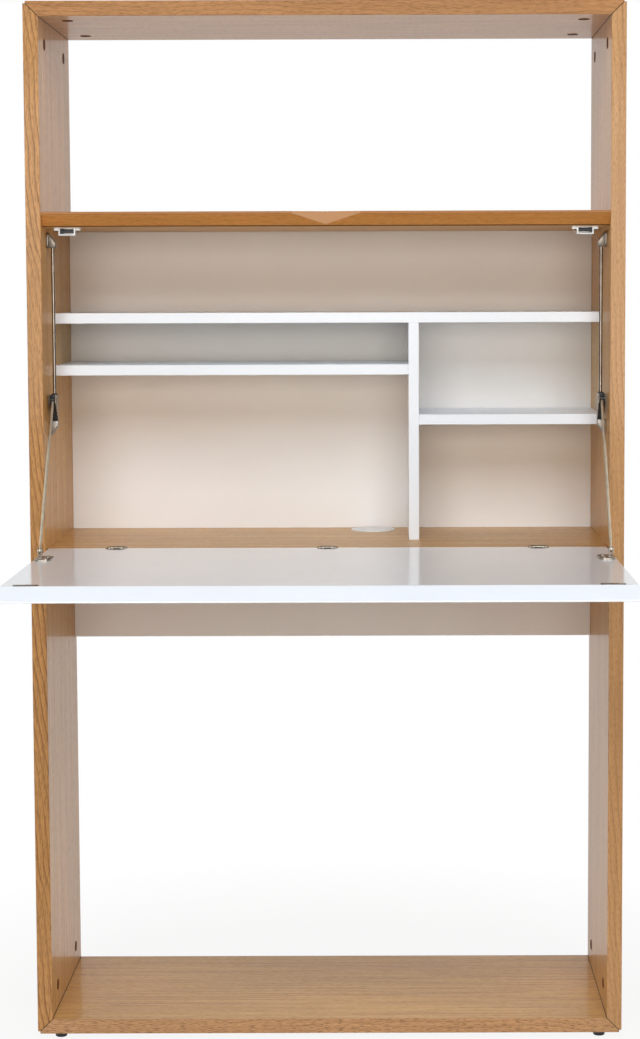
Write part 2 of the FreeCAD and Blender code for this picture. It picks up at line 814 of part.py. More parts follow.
# Screw holes in the wood
hinge_places = [("left", -hinge_spacing), ("middle", 0), ("right", hinge_spacing)]
floor_pockets = []
flap_pockets = []
floor_cup_screws = []
flap_cup_screws = []
for label, x in hinge_places:
    floor_pockets.append(cup_blank(x, 1, cup_dia / 2 + cup_fit, overrun))
    flap_pockets.append(cup_blank(x, -1, cup_dia / 2 + cup_fit, overrun))
    floor_cup_screws += cup_screw_places(x, 1)
    flap_cup_screws += cup_screw_places(x, -1)
bracket_screws = bracket_screw_places(lower_bracket_z - bracket_height)
bracket_screws += bracket_screw_places(top_bracket_z)
bracket_holes = [screw_hole(*place, X_AXIS) for place in bracket_screws]
plate_holes = both_sides([screw_hole(*place, -Z_AXIS) for place in stay_plate_screw_places()])
strike_holes = both_sides([screw_hole(*place, -Z_AXIS) for place in strike_screw_places()])
catch_holes = both_sides([screw_hole(*place, Z_AXIS) for place in catch_screw_places()])
floor_cup_holes = [screw_hole(*place, -Z_AXIS) for place in floor_cup_screws]
flap_cup_holes = [screw_hole(*place, -Z_AXIS) for place in flap_cup_screws]
back_holes = [screw_hole(*place, -Y_AXIS, back_screw_length) for place in back_screw_places()]
foot_holes = [screw_hole(x, y, foot_recess_depth, Z_AXIS) for x, y in foot_places().values()]

# Oak frame
right_side_cuts = bolt_holes + side_cam_holes + bracket_holes
right_side = side_board().cut(right_side_cuts + dowel_holes)
left_side = mirrored(side_board().cut(right_side_cuts)).cut(dowel_holes)
save("right_side_panel", [right_side])
save("left_side_panel", [left_side])
top_cuts = both_sides(bolt_holes + top_cam_holes)
save("top_panel", [end_board(top_under_z, crown_z, crown_z - mitre_notch).cut(top_cuts)])
bottom_cuts = both_sides(bolt_holes) + foot_holes
save("bottom_panel", [end_board(bottom_top_z, base_z, base_z + mitre_notch).cut(bottom_cuts)])
save("mitre_bolts", both_sides(bolts))
save("cam_locks", both_sides(cams))
save("cam_covers", both_sides(covers))

# Cabinet
grommet_hole = bar(
    grommet_offset, grommet_y, floor_under_z - overrun, Z_AXIS,
    grommet_barrel_dia / 2 + grommet_fit, board + 2 * overrun,
)
floor_board = eased(
    block(-inner_x, inner_x, floor_edge_y, back_face_y, floor_under_z, floor_z), oak_ease
)
floor_cuts = dowel_holes + floor_pockets + floor_cup_holes + back_holes + [grommet_hole]
save("cabinet_top_panel", [cabinet_top().cut(dowel_holes + catch_holes)])
save("cabinet_floor_panel", [floor_board.cut(floor_cuts)])
back_board = eased(
    block(-inner_x, inner_x, back_face_y, rear_face_y, floor_z - apron_drop, ceiling_z), white_ease
)
save("back_panel", [back_board.cut(back_holes)])
shelf_ends = {
    "upper_shelf": (-inner_x, inner_x, upper_shelf_z),
    "left_shelf": (-inner_x, divider_left_x, left_shelf_z),
    "right_shelf": (divider_right_x, inner_x, right_shelf_z),
}
for name, (x0, x1, z) in shelf_ends.items():
    shelf = eased(block(x0, x1, shelf_front_y, back_face_y, z - shelf_thickness, z), white_ease)
    save(name, [shelf.cut(dowel_holes + back_holes)])
divider_board = block(
    divider_left_x, divider_right_x, shelf_front_y, back_face_y, floor_z, upper_shelf_z - shelf_thickness
)
save("divider_panel", [eased(divider_board, white_ease).cut(dowel_holes)])
save("panel_dowels", dowels)
save("back_panel_screws", [screw(*place, -Y_AXIS, back_screw_length) for place in back_screw_places()])

# Flap and hinges
flap_cuts = flap_pockets + flap_cup_holes + plate_holes + strike_holes
save("flap_panel", [flap().cut(flap_cuts)])
for label, x in hinge_places:
    save(label + "_hinge_floor_cup", [hinge_cup(x, 1)])
    save(label + "_hinge_flap_cup", [hinge_cup(x, -1)])
save("hinge_pins", [hinge_pin(x) for label, x in hinge_places])
save("hinge_floor_screws", [screw(*place, -Z_AXIS) for place in floor_cup_screws])
save("hinge_flap_screws", [screw(*place, -Z_AXIS) for place in flap_cup_screws])

# Stays, catches and strike plates, made on the right and mirrored to the left
pairs = {
    "stay_top_bracket": stay_bracket(top_bracket_z, False),
    "stay_lower_bracket": stay_bracket(lower_bracket_z - bracket_height, True),
    "stay_guide_rod": guide_rod(),
    "stay_slider_cage": slider_cage(),
    "stay_brake_block": brake_block(),
    "stay_arm": stay_arm(),
    "stay_flap_plate": stay_plate(),
    "stay_clevis_pin": clevis_pin(),
    "catch_housing": catch_housing(),
    "strike_plate": strike_plate(),
}
for name, shape in pairs.items():
    save("right_" + name, [shape])
    save("left_" + name, [mirrored(shape)])
save("stay_bracket_screws", both_sides([screw(*place, X_AXIS) for place in bracket_screws]))
save("stay_flap_screws", both_sides([screw(*place, -Z_AXIS) for place in stay_plate_screw_places()]))
save("catch_screws", both_sides([screw(*place, Z_AXIS) for place in catch_screw_places()]))
save("catch_pole_plates", both_sides(catch_pole_plates()))
save("catch_magnets", both_sides([catch_magnet()]))
save("strike_screws", both_sides([strike_screw(place) for place in strike_screw_places()]))

# Cable grommet
save("grommet_ring", [grommet_ring()])
save("grommet_cap", [grommet_cap()])

# Feet
for corner, (x, y) in foot_places().items():
    save(corner + "_foot", [foot(x, y)])
save("foot_screws", [screw(x, y, foot_recess_depth, Z_AXIS) for x, y in foot_places().values()])
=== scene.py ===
import logging
import math
from dataclasses import dataclass
from enum import Enum
from functools import lru_cache, partial
from typing import Callable, Iterable, Sequence

import bmesh
import bpy
from bmesh.types import BMEdge, BMFace, BMVert
from bpy.types import Material, NodeSocket, NodeTree
from mathutils import Matrix, Vector


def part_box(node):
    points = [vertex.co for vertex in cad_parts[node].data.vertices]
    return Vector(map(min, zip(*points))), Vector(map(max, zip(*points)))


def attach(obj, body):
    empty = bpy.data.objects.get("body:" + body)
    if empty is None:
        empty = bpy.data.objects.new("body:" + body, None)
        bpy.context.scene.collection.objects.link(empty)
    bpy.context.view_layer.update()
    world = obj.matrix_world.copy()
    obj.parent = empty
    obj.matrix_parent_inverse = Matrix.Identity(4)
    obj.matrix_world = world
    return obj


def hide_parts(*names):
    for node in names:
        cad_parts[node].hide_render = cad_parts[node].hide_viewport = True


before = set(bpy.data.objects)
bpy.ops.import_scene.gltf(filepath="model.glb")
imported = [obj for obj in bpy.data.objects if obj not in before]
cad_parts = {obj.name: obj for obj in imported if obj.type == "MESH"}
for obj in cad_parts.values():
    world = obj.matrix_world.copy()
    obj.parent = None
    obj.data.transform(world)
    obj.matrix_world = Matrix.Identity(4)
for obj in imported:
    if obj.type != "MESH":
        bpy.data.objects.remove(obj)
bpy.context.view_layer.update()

log = logging.getLogger("desk")

Pair = tuple[float, float]
Triple = tuple[float, float, float]
Four = tuple[float, float, float, float]
Pick = Callable[[BMEdge], bool]
Adder = Callable[..., NodeSocket]

# A millimetre in Blender's metres; every form below is drawn in millimetres of the shared frame.
MM = 0.001
UP, RIGHT, BACK = Vector((0, 0, 1)), Vector((1, 0, 0)), Vector((0, 1, 0))
move = Matrix.Translation
HERE = Matrix.Identity(4)
MIRROR = Matrix.Scale(-1, 4, RIGHT)
FULL_TURN = 2 * math.pi
# A wave texture repeats once in this length at a scale of 1.
WAVE_LENGTH = FULL_TURN / 20
# Edges this near a level count as lying on it, and points this near each other are one.
HAIR, WELD = 0.01, 0.001
# Edges sharper than the first angle are rounded; the second leaves out the shallow ones of round faces.
SHARP, SQUARE = 25.0, 60.0
# Faces that meet at less than this angle are shaded as one.
SMOOTH = math.radians(32)
# Noise mostly stays between these values.
NOISE = (0.3, 0.7)
# Settings of a node that mixes two colours.
COLOURS = {"data_type": "RGBA", "out": 2}
WHITE = (1, 1, 1, 1)


class Side(Enum):
    """The two sides that carry a stay, a catch and a strike plate."""

    LEFT = "left"
    RIGHT = "right"

    @property
    def place(self) -> Matrix:
        """The mirror that turns a right-hand form to this side."""
        return MIRROR if self is Side.LEFT else HERE


class Grain(Enum):
    """Which way the wood fibres run, as the turn about Y that lays them along Z."""

    UPRIGHT = 0.0
    LEVEL = math.pi / 2


def box_mm(node: str) -> tuple[Vector, Vector]:
    """The lowest and the highest corner of a CAD node, in millimetres."""
    low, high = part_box(node)
    return low / MM, high / MM


def stand(node: str) -> tuple[Vector, Vector]:
    """The middle of a CAD node's underside and the node's size, in millimetres."""
    low, high = box_mm(node)
    return Vector(((low.x + high.x) / 2, (low.y + high.y) / 2, low.z)), high - low


def colour(code: str) -> Four:
    """Turn an sRGB hex value into linear light, with an alpha of one."""
    parts = [int(code[i:i + 2], 16) / 255 for i in (1, 3, 5)]
    red, green, blue = (p / 12.92 if p <= 0.04045 else ((p + 0.055) / 1.055) ** 2.4 for p in parts)
    return (red, green, blue, 1.0)


def along(axis: Vector, at: Vector) -> Matrix:
    """The place that lays a form's own Z along an axis, with its origin at a point."""
    return move(at) @ UP.rotation_difference(axis).to_matrix().to_4x4()


def both_sides(places: Sequence[Matrix]) -> list[Matrix]:
    """Right-hand places, and the same places on the left."""
    return [*places, *(MIRROR @ place for place in places)]


def runs(way: Vector, least: float = 1.0) -> Pick:
    """Choose edges that run along a direction for more than a length."""
    return lambda edge: abs((edge.verts[0].co - edge.verts[1].co).dot(way)) > least


def reaches(way: Vector, level: float) -> Pick:
    """Choose edges that lie wholly at a level along a direction, or past it."""
    return lambda edge: min(vert.co.dot(way) for vert in edge.verts) > level - HAIR


class Form:
    """A mesh under way, in millimetres."""

    def __init__(self) -> None:
        """Start with an empty mesh."""
        self.bm = bmesh.new()

    @classmethod
    def block(cls, low: Sequence[float], high: Sequence[float], soft: float = 0.0) -> "Form":
        """Make a box between two corners, with its edges rounded to a width."""
        form, low, high = cls(), Vector(low), Vector(high)
        bmesh.ops.create_cube(form.bm, size=1.0)
        bmesh.ops.scale(form.bm, vec=high - low, verts=form.bm.verts)
        bmesh.ops.translate(form.bm, vec=(low + high) / 2, verts=form.bm.verts)
        return form.soften(soft)

    @classmethod
    def prism(cls, outline: Iterable[Triple], run: Vector, soft: float = 0.0) -> "Form":
        """Draw a flat outline of corners out along a line, and round the edges to a width."""
        form = cls()
        form.raise_sheet([form.bm.faces.new([form.bm.verts.new(point) for point in outline])], run)
        return form.soften(soft)

    @classmethod
    def turned(cls, profile: Sequence[Pair], steps: int = 48) -> "Form":
        """Turn a profile round the Z axis, as on a lathe.

        Args:
            profile: radius and height of each point; it starts and ends on the axis, or closes on itself.
            steps: how many steps make the full turn.

        Returns:
            The turned form.
        """
        form = cls()
        verts = [form.bm.verts.new((radius, 0, height)) for radius, height in profile]
        edges = [form.bm.edges.new(pair) for pair in zip(verts, verts[1:])]
        bmesh.ops.spin(
            form.bm, geom=verts + edges, cent=(0, 0, 0), axis=UP, angle=FULL_TURN, steps=steps, use_merge=True,
        )
        bmesh.ops.remove_doubles(form.bm, verts=form.bm.verts, dist=WELD)
        bmesh.ops.recalc_face_normals(form.bm, faces=form.bm.faces)
        return form

    @classmethod
    def bar(cls, radius: float, start: float, stop: float, edge: float, steps: int, bore: float = 0.0) -> "Form":
        """Turn a round bar or a tube with bevelled ends.

        Args:
            radius: outer radius.
            start: lower end along Z.
            stop: upper end along Z.
            edge: width of the bevel.
            steps: how many steps make the full turn.
            bore: radius of the bore; zero makes a solid bar.

        Returns:
            The bar.
        """
        inner = radius - edge
        profile = [
            (bore, start), (inner, start), (radius, start + edge), (radius, stop - edge), (inner, stop), (bore, stop),
        ]
        return cls.turned(profile + profile[:1] if bore else profile, steps)

    def raise_sheet(self, faces: list[BMFace], run: Vector) -> None:
        """Give a flat open sheet of faces a thickness along a line."""
        made = bmesh.ops.extrude_face_region(self.bm, geom=faces)["geom"]
        bmesh.ops.translate(self.bm, vec=run, verts=[item for item in made if isinstance(item, BMVert)])
        bmesh.ops.recalc_face_normals(self.bm, faces=self.bm.faces)

    def sink(self, face: BMFace, rim: float, run: Vector) -> BMFace:
        """Inset a face and push it in to make a dish.

        Args:
            face: the face to work on.
            rim: width of the rim that stays.
            run: how far and which way the inner face moves.

        Returns:
            The moved face.
        """
        bmesh.ops.inset_region(self.bm, faces=[face], thickness=rim, use_even_offset=True)
        floor = bmesh.ops.extrude_discrete_faces(self.bm, faces=[face])["faces"][0]
        bmesh.ops.translate(self.bm, vec=run, verts=floor.verts)
        return floor

    def loft(self, edges: Sequence[BMEdge], rings: Sequence[Triple]) -> "Form":
        """Carry an open loop about the Z axis from ring to ring, and fill what is left open.

        Args:
            edges: the loop, which is the first ring.
            rings: half widths along X and Y, and height, of each ring.

        Returns:
            This form.
        """
        for (wide, deep, level), (next_wide, next_deep, height) in zip(rings, rings[1:]):
            made = bmesh.ops.extrude_edge_only(self.bm, edges=edges)["geom"]
            verts = [item for item in made if isinstance(item, BMVert)]
            edges = [item for item in made if isinstance(item, BMEdge)]
            bmesh.ops.scale(self.bm, vec=(next_wide / wide, next_deep / deep, 1), verts=verts)
            bmesh.ops.translate(self.bm, vec=UP * (height - level), verts=verts)
        return self.close()

    def cut_off(self, point: Vector, way: Vector) -> None:
        """Saw off what lies beyond a plane, given by a point and the way out, and leave the cut open."""
        geom = self.bm.verts[:] + self.bm.edges[:] + self.bm.faces[:]
        bmesh.ops.bisect_plane(self.bm, geom=geom, dist=WELD / 10, plane_co=point, plane_no=way, clear_outer=True)

    def close(self) -> "Form":
        """Fill each open loop of edges."""
        edges = [edge for edge in self.bm.edges if edge.is_boundary]
        bmesh.ops.holes_fill(self.bm, edges=edges, sides=0)
        bmesh.ops.recalc_face_normals(self.bm, faces=self.bm.faces)
        return self

    def soften(self, width: float, segments: int = 2, *picks: Pick, least: float = SHARP) -> "Form":
        """Round the sharp edges.

        Args:
            width: width of the rounding; zero leaves the edges as they are.
            segments: faces across the rounding.
            picks: which of the sharp edges; all of them if left out.
            least: smallest angle in degrees that counts as sharp.

        Returns:
            This form.
        """
        if width > 0:
            sharp = [
                edge for edge in self.bm.edges
                if len(edge.link_faces) == 2 and edge.calc_face_angle() > math.radians(least)
                and all(pick(edge) for pick in picks)
            ]
            bmesh.ops.bevel(
                self.bm, geom=sharp, offset=width, offset_type="OFFSET", segments=segments,
                profile=0.5, affect="EDGES", material=-1, clamp_overlap=True,
            )
            bmesh.ops.dissolve_degenerate(self.bm, edges=self.bm.edges, dist=WELD)
        return self

    def take(self, other: "Form", *places: Matrix) -> "Form":
        """Add a copy of another form at each place, or one where it is if no place is given."""
        for place in places or (HERE,):
            mesh = bpy.data.meshes.new("copy")
            other.bm.to_mesh(mesh)
            mesh.transform(place)
            if place.is_negative:
                mesh.flip_normals()
            self.bm.from_mesh(mesh)
            bpy.data.meshes.remove(mesh)
        return self

    def at(self, *places: Matrix) -> "Form":
        """A new form with a copy of this one at each place."""
        return Form().take(self, *places)


def add_node(
    tree: NodeTree, kind: str, inputs: dict | Sequence, out: int | str = 0, **settings: object,
) -> NodeSocket | None:
    """Add one node with its settings, values and links.

    Args:
        tree: node tree of a material or of the world.
        kind: the node's type, without the words that every shader node's type starts with.
        inputs: input name or number to a value or to the output that feeds it, or the inputs in order.
        out: the output that is wanted.
        settings: the node's own settings.

    Returns:
        That output; none for a node without outputs.
    """
    node = tree.nodes.new("ShaderNode" + kind)
    for key, value in settings.items():
        setattr(node, key, value)
    for key, value in inputs.items() if isinstance(inputs, dict) else enumerate(inputs):
        if isinstance(value, NodeSocket):
            tree.links.new(value, node.inputs[key])
        else:
            node.inputs[key].default_value = value
    return node.outputs[out] if node.outputs else None


def start_nodes(owner: Material | bpy.types.World) -> Adder:
    """Empty the node tree of a material or world, and give add_node for that tree."""
    owner.use_nodes = True
    owner.node_tree.nodes.clear()
    return partial(add_node, owner.node_tree)


class Finish:
    """What a surface is made of and how it was finished."""

    name: str

    @lru_cache
    def material(self) -> Material:
        """Make the material, or give the one already made."""
        material = bpy.data.materials.new(self.name)
        add = start_nodes(material)
        add("OutputMaterial", {"Surface": self.surface(add, add("TexCoord", {}, "Object"))})
        return material

    def surface(self, add: Adder, place: NodeSocket) -> NodeSocket:
        """Make the nodes of the surface on object coordinates, and give its shader."""
        raise NotImplementedError


@dataclass(frozen=True)
class SeamAndPaintedLight:
    """A plane through a board where the wood takes another colour: dark lines at joints, painted shade and painted
    sheen.

    The plane is given on the board's coordinates without their signs, so it lies the same on both sides.
    """

    way: Triple
    at: float
    tint: str = "#2E1B0C"


@dataclass(frozen=True)
class OakVeneer(Finish):
    """Satin-lacquered oak: veneered faces with quiet streaks, and edges lipped in solid oak.

    The lipping shows growth rings and open pores; the lacquer gives pale reflections at a low angle.
    Each board is cut from its own place in the log.
    """

    board: str
    grain: Grain
    cut: Triple
    pale: str = "#E0AE5C"
    tan: str = "#B8803E"
    lip_pale: str = "#CC9558"
    lip_dark: str = "#6F3F1A"
    pore: str = "#4F3015"
    lip_from: float = 198.0
    ring_mm: float = 9.0
    ring_slant: float = -7.0
    ring_stretch: float = 10.0
    ring_contrast: float = 4.5
    bend_mm: float = 45.0
    ring_share: float = 0.75
    # Where the drift in tone is low the rings fade: a range of the drift, and the share of the rings at its ends.
    ring_fade: Four = (0.4, 0.6, 0.25, 1.0)
    streak_mm: float = 6.0
    streak_stretch: float = 55.0
    streak_share: float = 0.3
    # The part of the noise that makes the streaks.
    streak_band: Pair = (0.34, 0.68)
    # Real pores are about 0.3 mm wide; they are drawn wider so that they show.
    pore_mm: float = 1.2
    pore_stretch: float = 9.0
    pore_band: Pair = (0.5, 0.64)
    pore_depth: float = 0.05
    pore_relief: float = 0.25
    pore_share: float = 0.34
    # Pores on the veneered faces show less than on the lipping.
    face_share: float = 0.35
    knot_mm: float = 0.0
    knot_apart_mm: float = 110.0
    tone_mm: float = 260.0
    tone_swing: Pair = (0.93, 1.06)
    # Roughness of the lacquered wood, and of the pores.
    roughness: Pair = (0.42, 0.6)
    coat: float = 0.25
    coat_roughness: float = 0.09
    specular: float = 0.25
    # Planes where the wood takes another colour: dark joint lines, and painted shade and painted sheen; the half
    # width of their lines and how strongly they tint.
    seams_and_painted_light: tuple[SeamAndPaintedLight, ...] = ()
    line_mm: float = 0.5
    line_share: float = 0.9

    @property
    def name(self) -> str:
        """The material and its board."""
        return "satin-lacquered oak " + self.board

    def surface(self, add: Adder, place: NodeSocket) -> NodeSocket:
        """Make the oak, with its grain along the board."""
        ways = ((self.streak_stretch, 0.0), (self.pore_stretch, 0.0), (self.ring_stretch, self.ring_slant))
        fibre, hole, ring = (
            add("Mapping", {"Vector": place, "Location": Vector(self.cut) * MM, "Scale": (1, 1, stretch),
                            "Rotation": (0, self.grain.value + math.radians(slant), 0)}, vector_type="TEXTURE")
            for stretch, slant in ways
        )
        tone = add("TexNoise", {"Vector": place, "Scale": 1 / (self.tone_mm * MM), "Detail": 2.0})
        bent = add("VectorMath", (tone, (self.bend_mm * MM, 0, 0), ring), operation="MULTIPLY_ADD")
        rings = add("TexWave", {
            "Vector": bent, "Scale": WAVE_LENGTH / (self.ring_mm * MM), "Distortion": 4.0, "Detail": 2.0,
            "Detail Scale": 0.6, "Detail Roughness": 0.5,
        }, "Fac", wave_type="BANDS", bands_direction="X", wave_profile="SAW")
        rings = add("Math", (rings, self.ring_contrast), operation="POWER")
        streaks = add("TexNoise", {
            "Vector": fibre, "Scale": 1 / (self.streak_mm * MM), "Detail": 6.0, "Roughness": 0.7,
        })
        streaks = add("MapRange", (streaks, *self.streak_band, 0.0, 1.0))
        pores = add("TexNoise", {"Vector": hole, "Scale": 1 / (self.pore_mm * MM), "Detail": 1.0})
        pores = add("MapRange", (pores, *self.pore_band, 0.0, 1.0))
        folded = add("VectorMath", (place,), operation="ABSOLUTE")
        out, depth, height = add("SeparateXYZ", (folded,)).node.outputs
        at_lip = add("Math", (depth, self.lip_from * MM), operation="GREATER_THAN")
        face = add("Mix", {0: streaks, 6: colour(self.pale), 7: colour(self.tan)}, **COLOURS)
        fade = add("MapRange", (tone, *self.ring_fade))
        rings = add("Math", (rings, fade), operation="MULTIPLY")
        quiet = add("Math", (streaks, self.streak_share), operation="MULTIPLY")
        lively = add("Math", (rings, self.ring_share, quiet), operation="MULTIPLY_ADD")
        lip = add("Mix", {0: lively, 6: colour(self.lip_pale), 7: colour(self.lip_dark)}, **COLOURS)
        wood = add("Mix", {0: at_lip, 6: face, 7: lip}, **COLOURS)
        open_share = add("MapRange", (at_lip, 0.0, 1.0, self.pore_share * self.face_share, self.pore_share))
        shade = add("Math", (pores, open_share), operation="MULTIPLY")
        if self.knot_mm:
            flat = add("CombineXYZ", {0: out, 2: height})
            knots = add("TexVoronoi", {"Vector": flat, "Scale": 1 / (self.knot_apart_mm * MM)})
            size = self.knot_mm / self.knot_apart_mm
            knots = add("MapRange", (knots, size / 3, size, 1.0, 0.0))
            knots = add("Math", (knots, at_lip), operation="MULTIPLY")
            shade = add("Math", (shade, knots), operation="MAXIMUM")
        wood = add("Mix", {0: shade, 6: wood, 7: colour(self.pore)}, **COLOURS)
        value = add("MapRange", (tone, *NOISE, *self.tone_swing))
        wood = add("HueSaturation", {"Color": wood, "Value": value})
        # Tinted lines: dark lines at joints and along an edge, and painted shade and a painted sheen on the cabinet
        # top's front.
        for tinted_plane in self.seams_and_painted_light:
            gap = add("VectorMath", (folded, tinted_plane.way), "Value", operation="DOT_PRODUCT")
            gap = add("Math", (gap, tinted_plane.at * MM), operation="SUBTRACT")
            gap = add("Math", (gap,), operation="ABSOLUTE")
            line = add("MapRange", (gap, self.line_mm * MM, 2.5 * self.line_mm * MM, self.line_share, 0.0))
            wood = add("Mix", {0: line, 6: wood, 7: colour(tinted_plane.tint)}, **COLOURS)
        return add("BsdfPrincipled", {
            "Base Color": wood,
            "Roughness": add("MapRange", (pores, 0.0, 1.0, *self.roughness)),
            "Normal": add("Bump", {
                "Height": pores, "Strength": self.pore_relief, "Distance": self.pore_depth * MM,
            }, invert=True),
            "Specular IOR Level": self.specular, "Coat Weight": self.coat, "Coat Roughness": self.coat_roughness,
        })


@dataclass(frozen=True)
class Skin(Finish):
    """An even colour that drifts a little, under fine marks that break up its reflections."""

    name: str
    main: str
    drift: str
    roughness: float
    mark_mm: float
    mark_depth: float = 0.05
    drift_mm: float = 9.0
    specular: float = 0.5
    stretch: Triple = (1, 1, 1)
    metallic: float = 0.0
    drift_band: Pair = NOISE
    drift_detail: float = 3.0
    mark_detail: float = 2.0
    # How far the marks change the roughness, and how much they stand out.
    spread: float = 0.1
    relief: float = 0.2

    def surface(self, add: Adder, place: NodeSocket) -> NodeSocket:
        """Make the painted, moulded or metal surface."""
        cloud = add("TexNoise", {"Vector": place, "Scale": 1 / (self.drift_mm * MM), "Detail": self.drift_detail})
        cloud = add("MapRange", (cloud, *self.drift_band, 0.0, 1.0))
        worked = add("Mapping", {"Vector": place, "Scale": self.stretch}, vector_type="TEXTURE")
        marks = add("TexNoise", {"Vector": worked, "Scale": 1 / (self.mark_mm * MM), "Detail": self.mark_detail})
        smooth, dull = self.roughness * (1 - self.spread), self.roughness * (1 + self.spread)
        return add("BsdfPrincipled", {
            "Base Color": add("Mix", {0: cloud, 6: colour(self.main), 7: colour(self.drift)}, **COLOURS),
            "Roughness": add("MapRange", (marks, *NOISE, smooth, dull)),
            "Normal": add("Bump", {"Height": marks, "Strength": self.relief, "Distance": self.mark_depth * MM}),
            "Metallic": self.metallic, "Specular IOR Level": self.specular,
        })


@dataclass(frozen=True)
class Painted(Skin):
    """Sprayed lacquer or moulded plastic.

    Lacquer has a faint orange peel that breaks up its reflections; plastic has a tighter moulded grain.
    """

    drift_mm: float = 180.0


@dataclass(frozen=True)
class Metal(Skin):
    """Plated, cast or drawn metal: a grey with a faint stain and marks along the way it was worked."""

    metallic: float = 1.0
    drift_band: Pair = (0.4, 0.75)
    drift_detail: float = 4.0
    mark_detail: float = 3.0
    spread: float = 0.25
    relief: float = 0.15


# Sprayed polyurethane on board: near white, glossy enough to mirror the divider in the open flap.
WHITE_LACQUER = Painted("white lacquer on board", "#F5F9FE", "#F2F6FB", 0.12, 3.5, 0.03)
# The same lacquer rubbed to a satin: the shelves' edges stay even from end to end.
WHITE_SATIN = Painted("white satin lacquer on board", "#F1F5F8", "#EEF2F5", 0.3, 3.5, 0.03)
# Melamine-faced board: warm white and duller than the sprayed parts.
WHITE_BOARD = Painted("white melamine board", "#F9F7F4", "#F6F3EF", 0.38, 2.5, 0.03)
# ABS with a fine spark-eroded grain: soft white that scatters its highlights.
WHITE_ABS = Painted("white moulded ABS", "#EDEDEA", "#E4E3DF", 0.34, 0.9, 0.05, 30.0)
# Glass-filled nylon: black with a dull sheen.
BLACK_NYLON = Painted("black moulded nylon", "#141414", "#1C1B1A", 0.42, 0.8, 0.06, 20.0)
# Polyethylene glide: black and waxy.
BLACK_GLIDE = Painted("black polyethylene glide", "#101010", "#191919", 0.5, 1.2, 0.08, 15.0)
# Polypropylene cap: plain brown, darker than the oak round it; the dark brown is painted shade that stands in for the
# shadow line round each cap's rim.
OAK_CAP = Painted("brown plastic cap", "#6E4122", "#5C351A", 0.6, 2.0, 0.05, 6.0, 0.08)
# Steamed beech: plain pinkish brown.
BEECH = Painted("beech dowel", "#C9A27C", "#BC926A", 0.6, 0.8, 0.05, 5.0)
# Sintered ferrite: charcoal grey with a chalky face.
FERRITE = Painted("sintered ferrite", "#3A3A3C", "#333335", 0.65, 0.6, 0.05, 4.0)
# Bright nickel on pressed steel: a warm mirror with handling marks.
NICKEL = Metal("nickel-plated pressed steel", "#968C7E", "#7B7265", 0.26, 1.6)
# Die-cast zinc under clear lacquer: mottled and softer than nickel.
ZINC = Metal("die-cast zinc", "#98928A", "#7D7870", 0.36, 1.2)
# Drawn steel bar with a satin plating: pale all along, so the arm stands out against the black brake.
DRAWN_STEEL = Metal("drawn steel bar", "#D4C8B2", "#C0B49E", 0.46, 0.8, drift_mm=14.0, stretch=(1, 1, 25))
# Ground steel rod: darker than the arm, with a tight bright line where it catches the light.
GROUND_STEEL = Metal("ground steel rod", "#948F89", "#7F7A75", 0.22, 0.6, drift_mm=20.0, stretch=(1, 1, 40))
# Polished steel sheet: mirrors the bay round it, with thin bright lines on its cut edges.
POLISHED_SHEET = Metal("polished steel sheet", "#958E84", "#7A746C", 0.26, 1.0)
# Zinc-plated steel sheet: plain grey.
PLATED_SHEET = Metal("zinc-plated steel sheet", "#8C867D", "#726C64", 0.24, 1.0)
# Burnished strike plate: dark brown steel with a faint stain, and fine marks along its length.
STRIKE_STEEL = Metal("burnished strike steel", "#5E5448", "#4A4138", 0.3, 1.0, drift_mm=7.0, stretch=(25, 1, 1))
# Zinc-plated screw steel: cool grey.
SCREW_STEEL = Metal("zinc-plated screw steel", "#A8A49D", "#8B877F", 0.3, 0.7, drift_mm=4.0)


def put(name: str, data: bpy.types.ID) -> bpy.types.Object:
    """Make an object of a mesh, lamp or camera and link it to the scene."""
    made = bpy.data.objects.new(name, data)
    bpy.context.scene.collection.objects.link(made)
    return made


def add_piece(form: Form, node: str, made: str, finish: Finish, body: str, name: str = "") -> None:
    """Turn a form into a piece of the model.

    Args:
        form: the form in millimetres, which is used up.
        node: the CAD node it stands for.
        made: how it was made, which ends its name.
        finish: its finish.
        body: the CAD body it moves with.
        name: how its name starts, if not as the node's.
    """
    mesh = bpy.data.meshes.new(f"{name or node}_{made}")
    bmesh.ops.scale(form.bm, vec=(MM, MM, MM), verts=form.bm.verts)
    form.bm.to_mesh(mesh)
    form.bm.free()
    mesh.polygons.foreach_set("use_smooth", [True] * len(mesh.polygons))
    mesh.set_sharp_from_angle(angle=SMOOTH)
    mesh.materials.append(finish.material())
    piece = put(mesh.name, mesh)
    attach(piece, body)
    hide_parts(node)
    log.info("%s: %d faces on %s", piece.name, len(mesh.polygons), body)


def dress_nodes(finish: Finish, *nodes: str) -> None:
    """Give CAD nodes their finish."""
    for node in nodes:
        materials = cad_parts[node].data.materials
        materials.clear()
        materials.append(finish.material())
        log.info("%s: %s", node, finish.material().name)


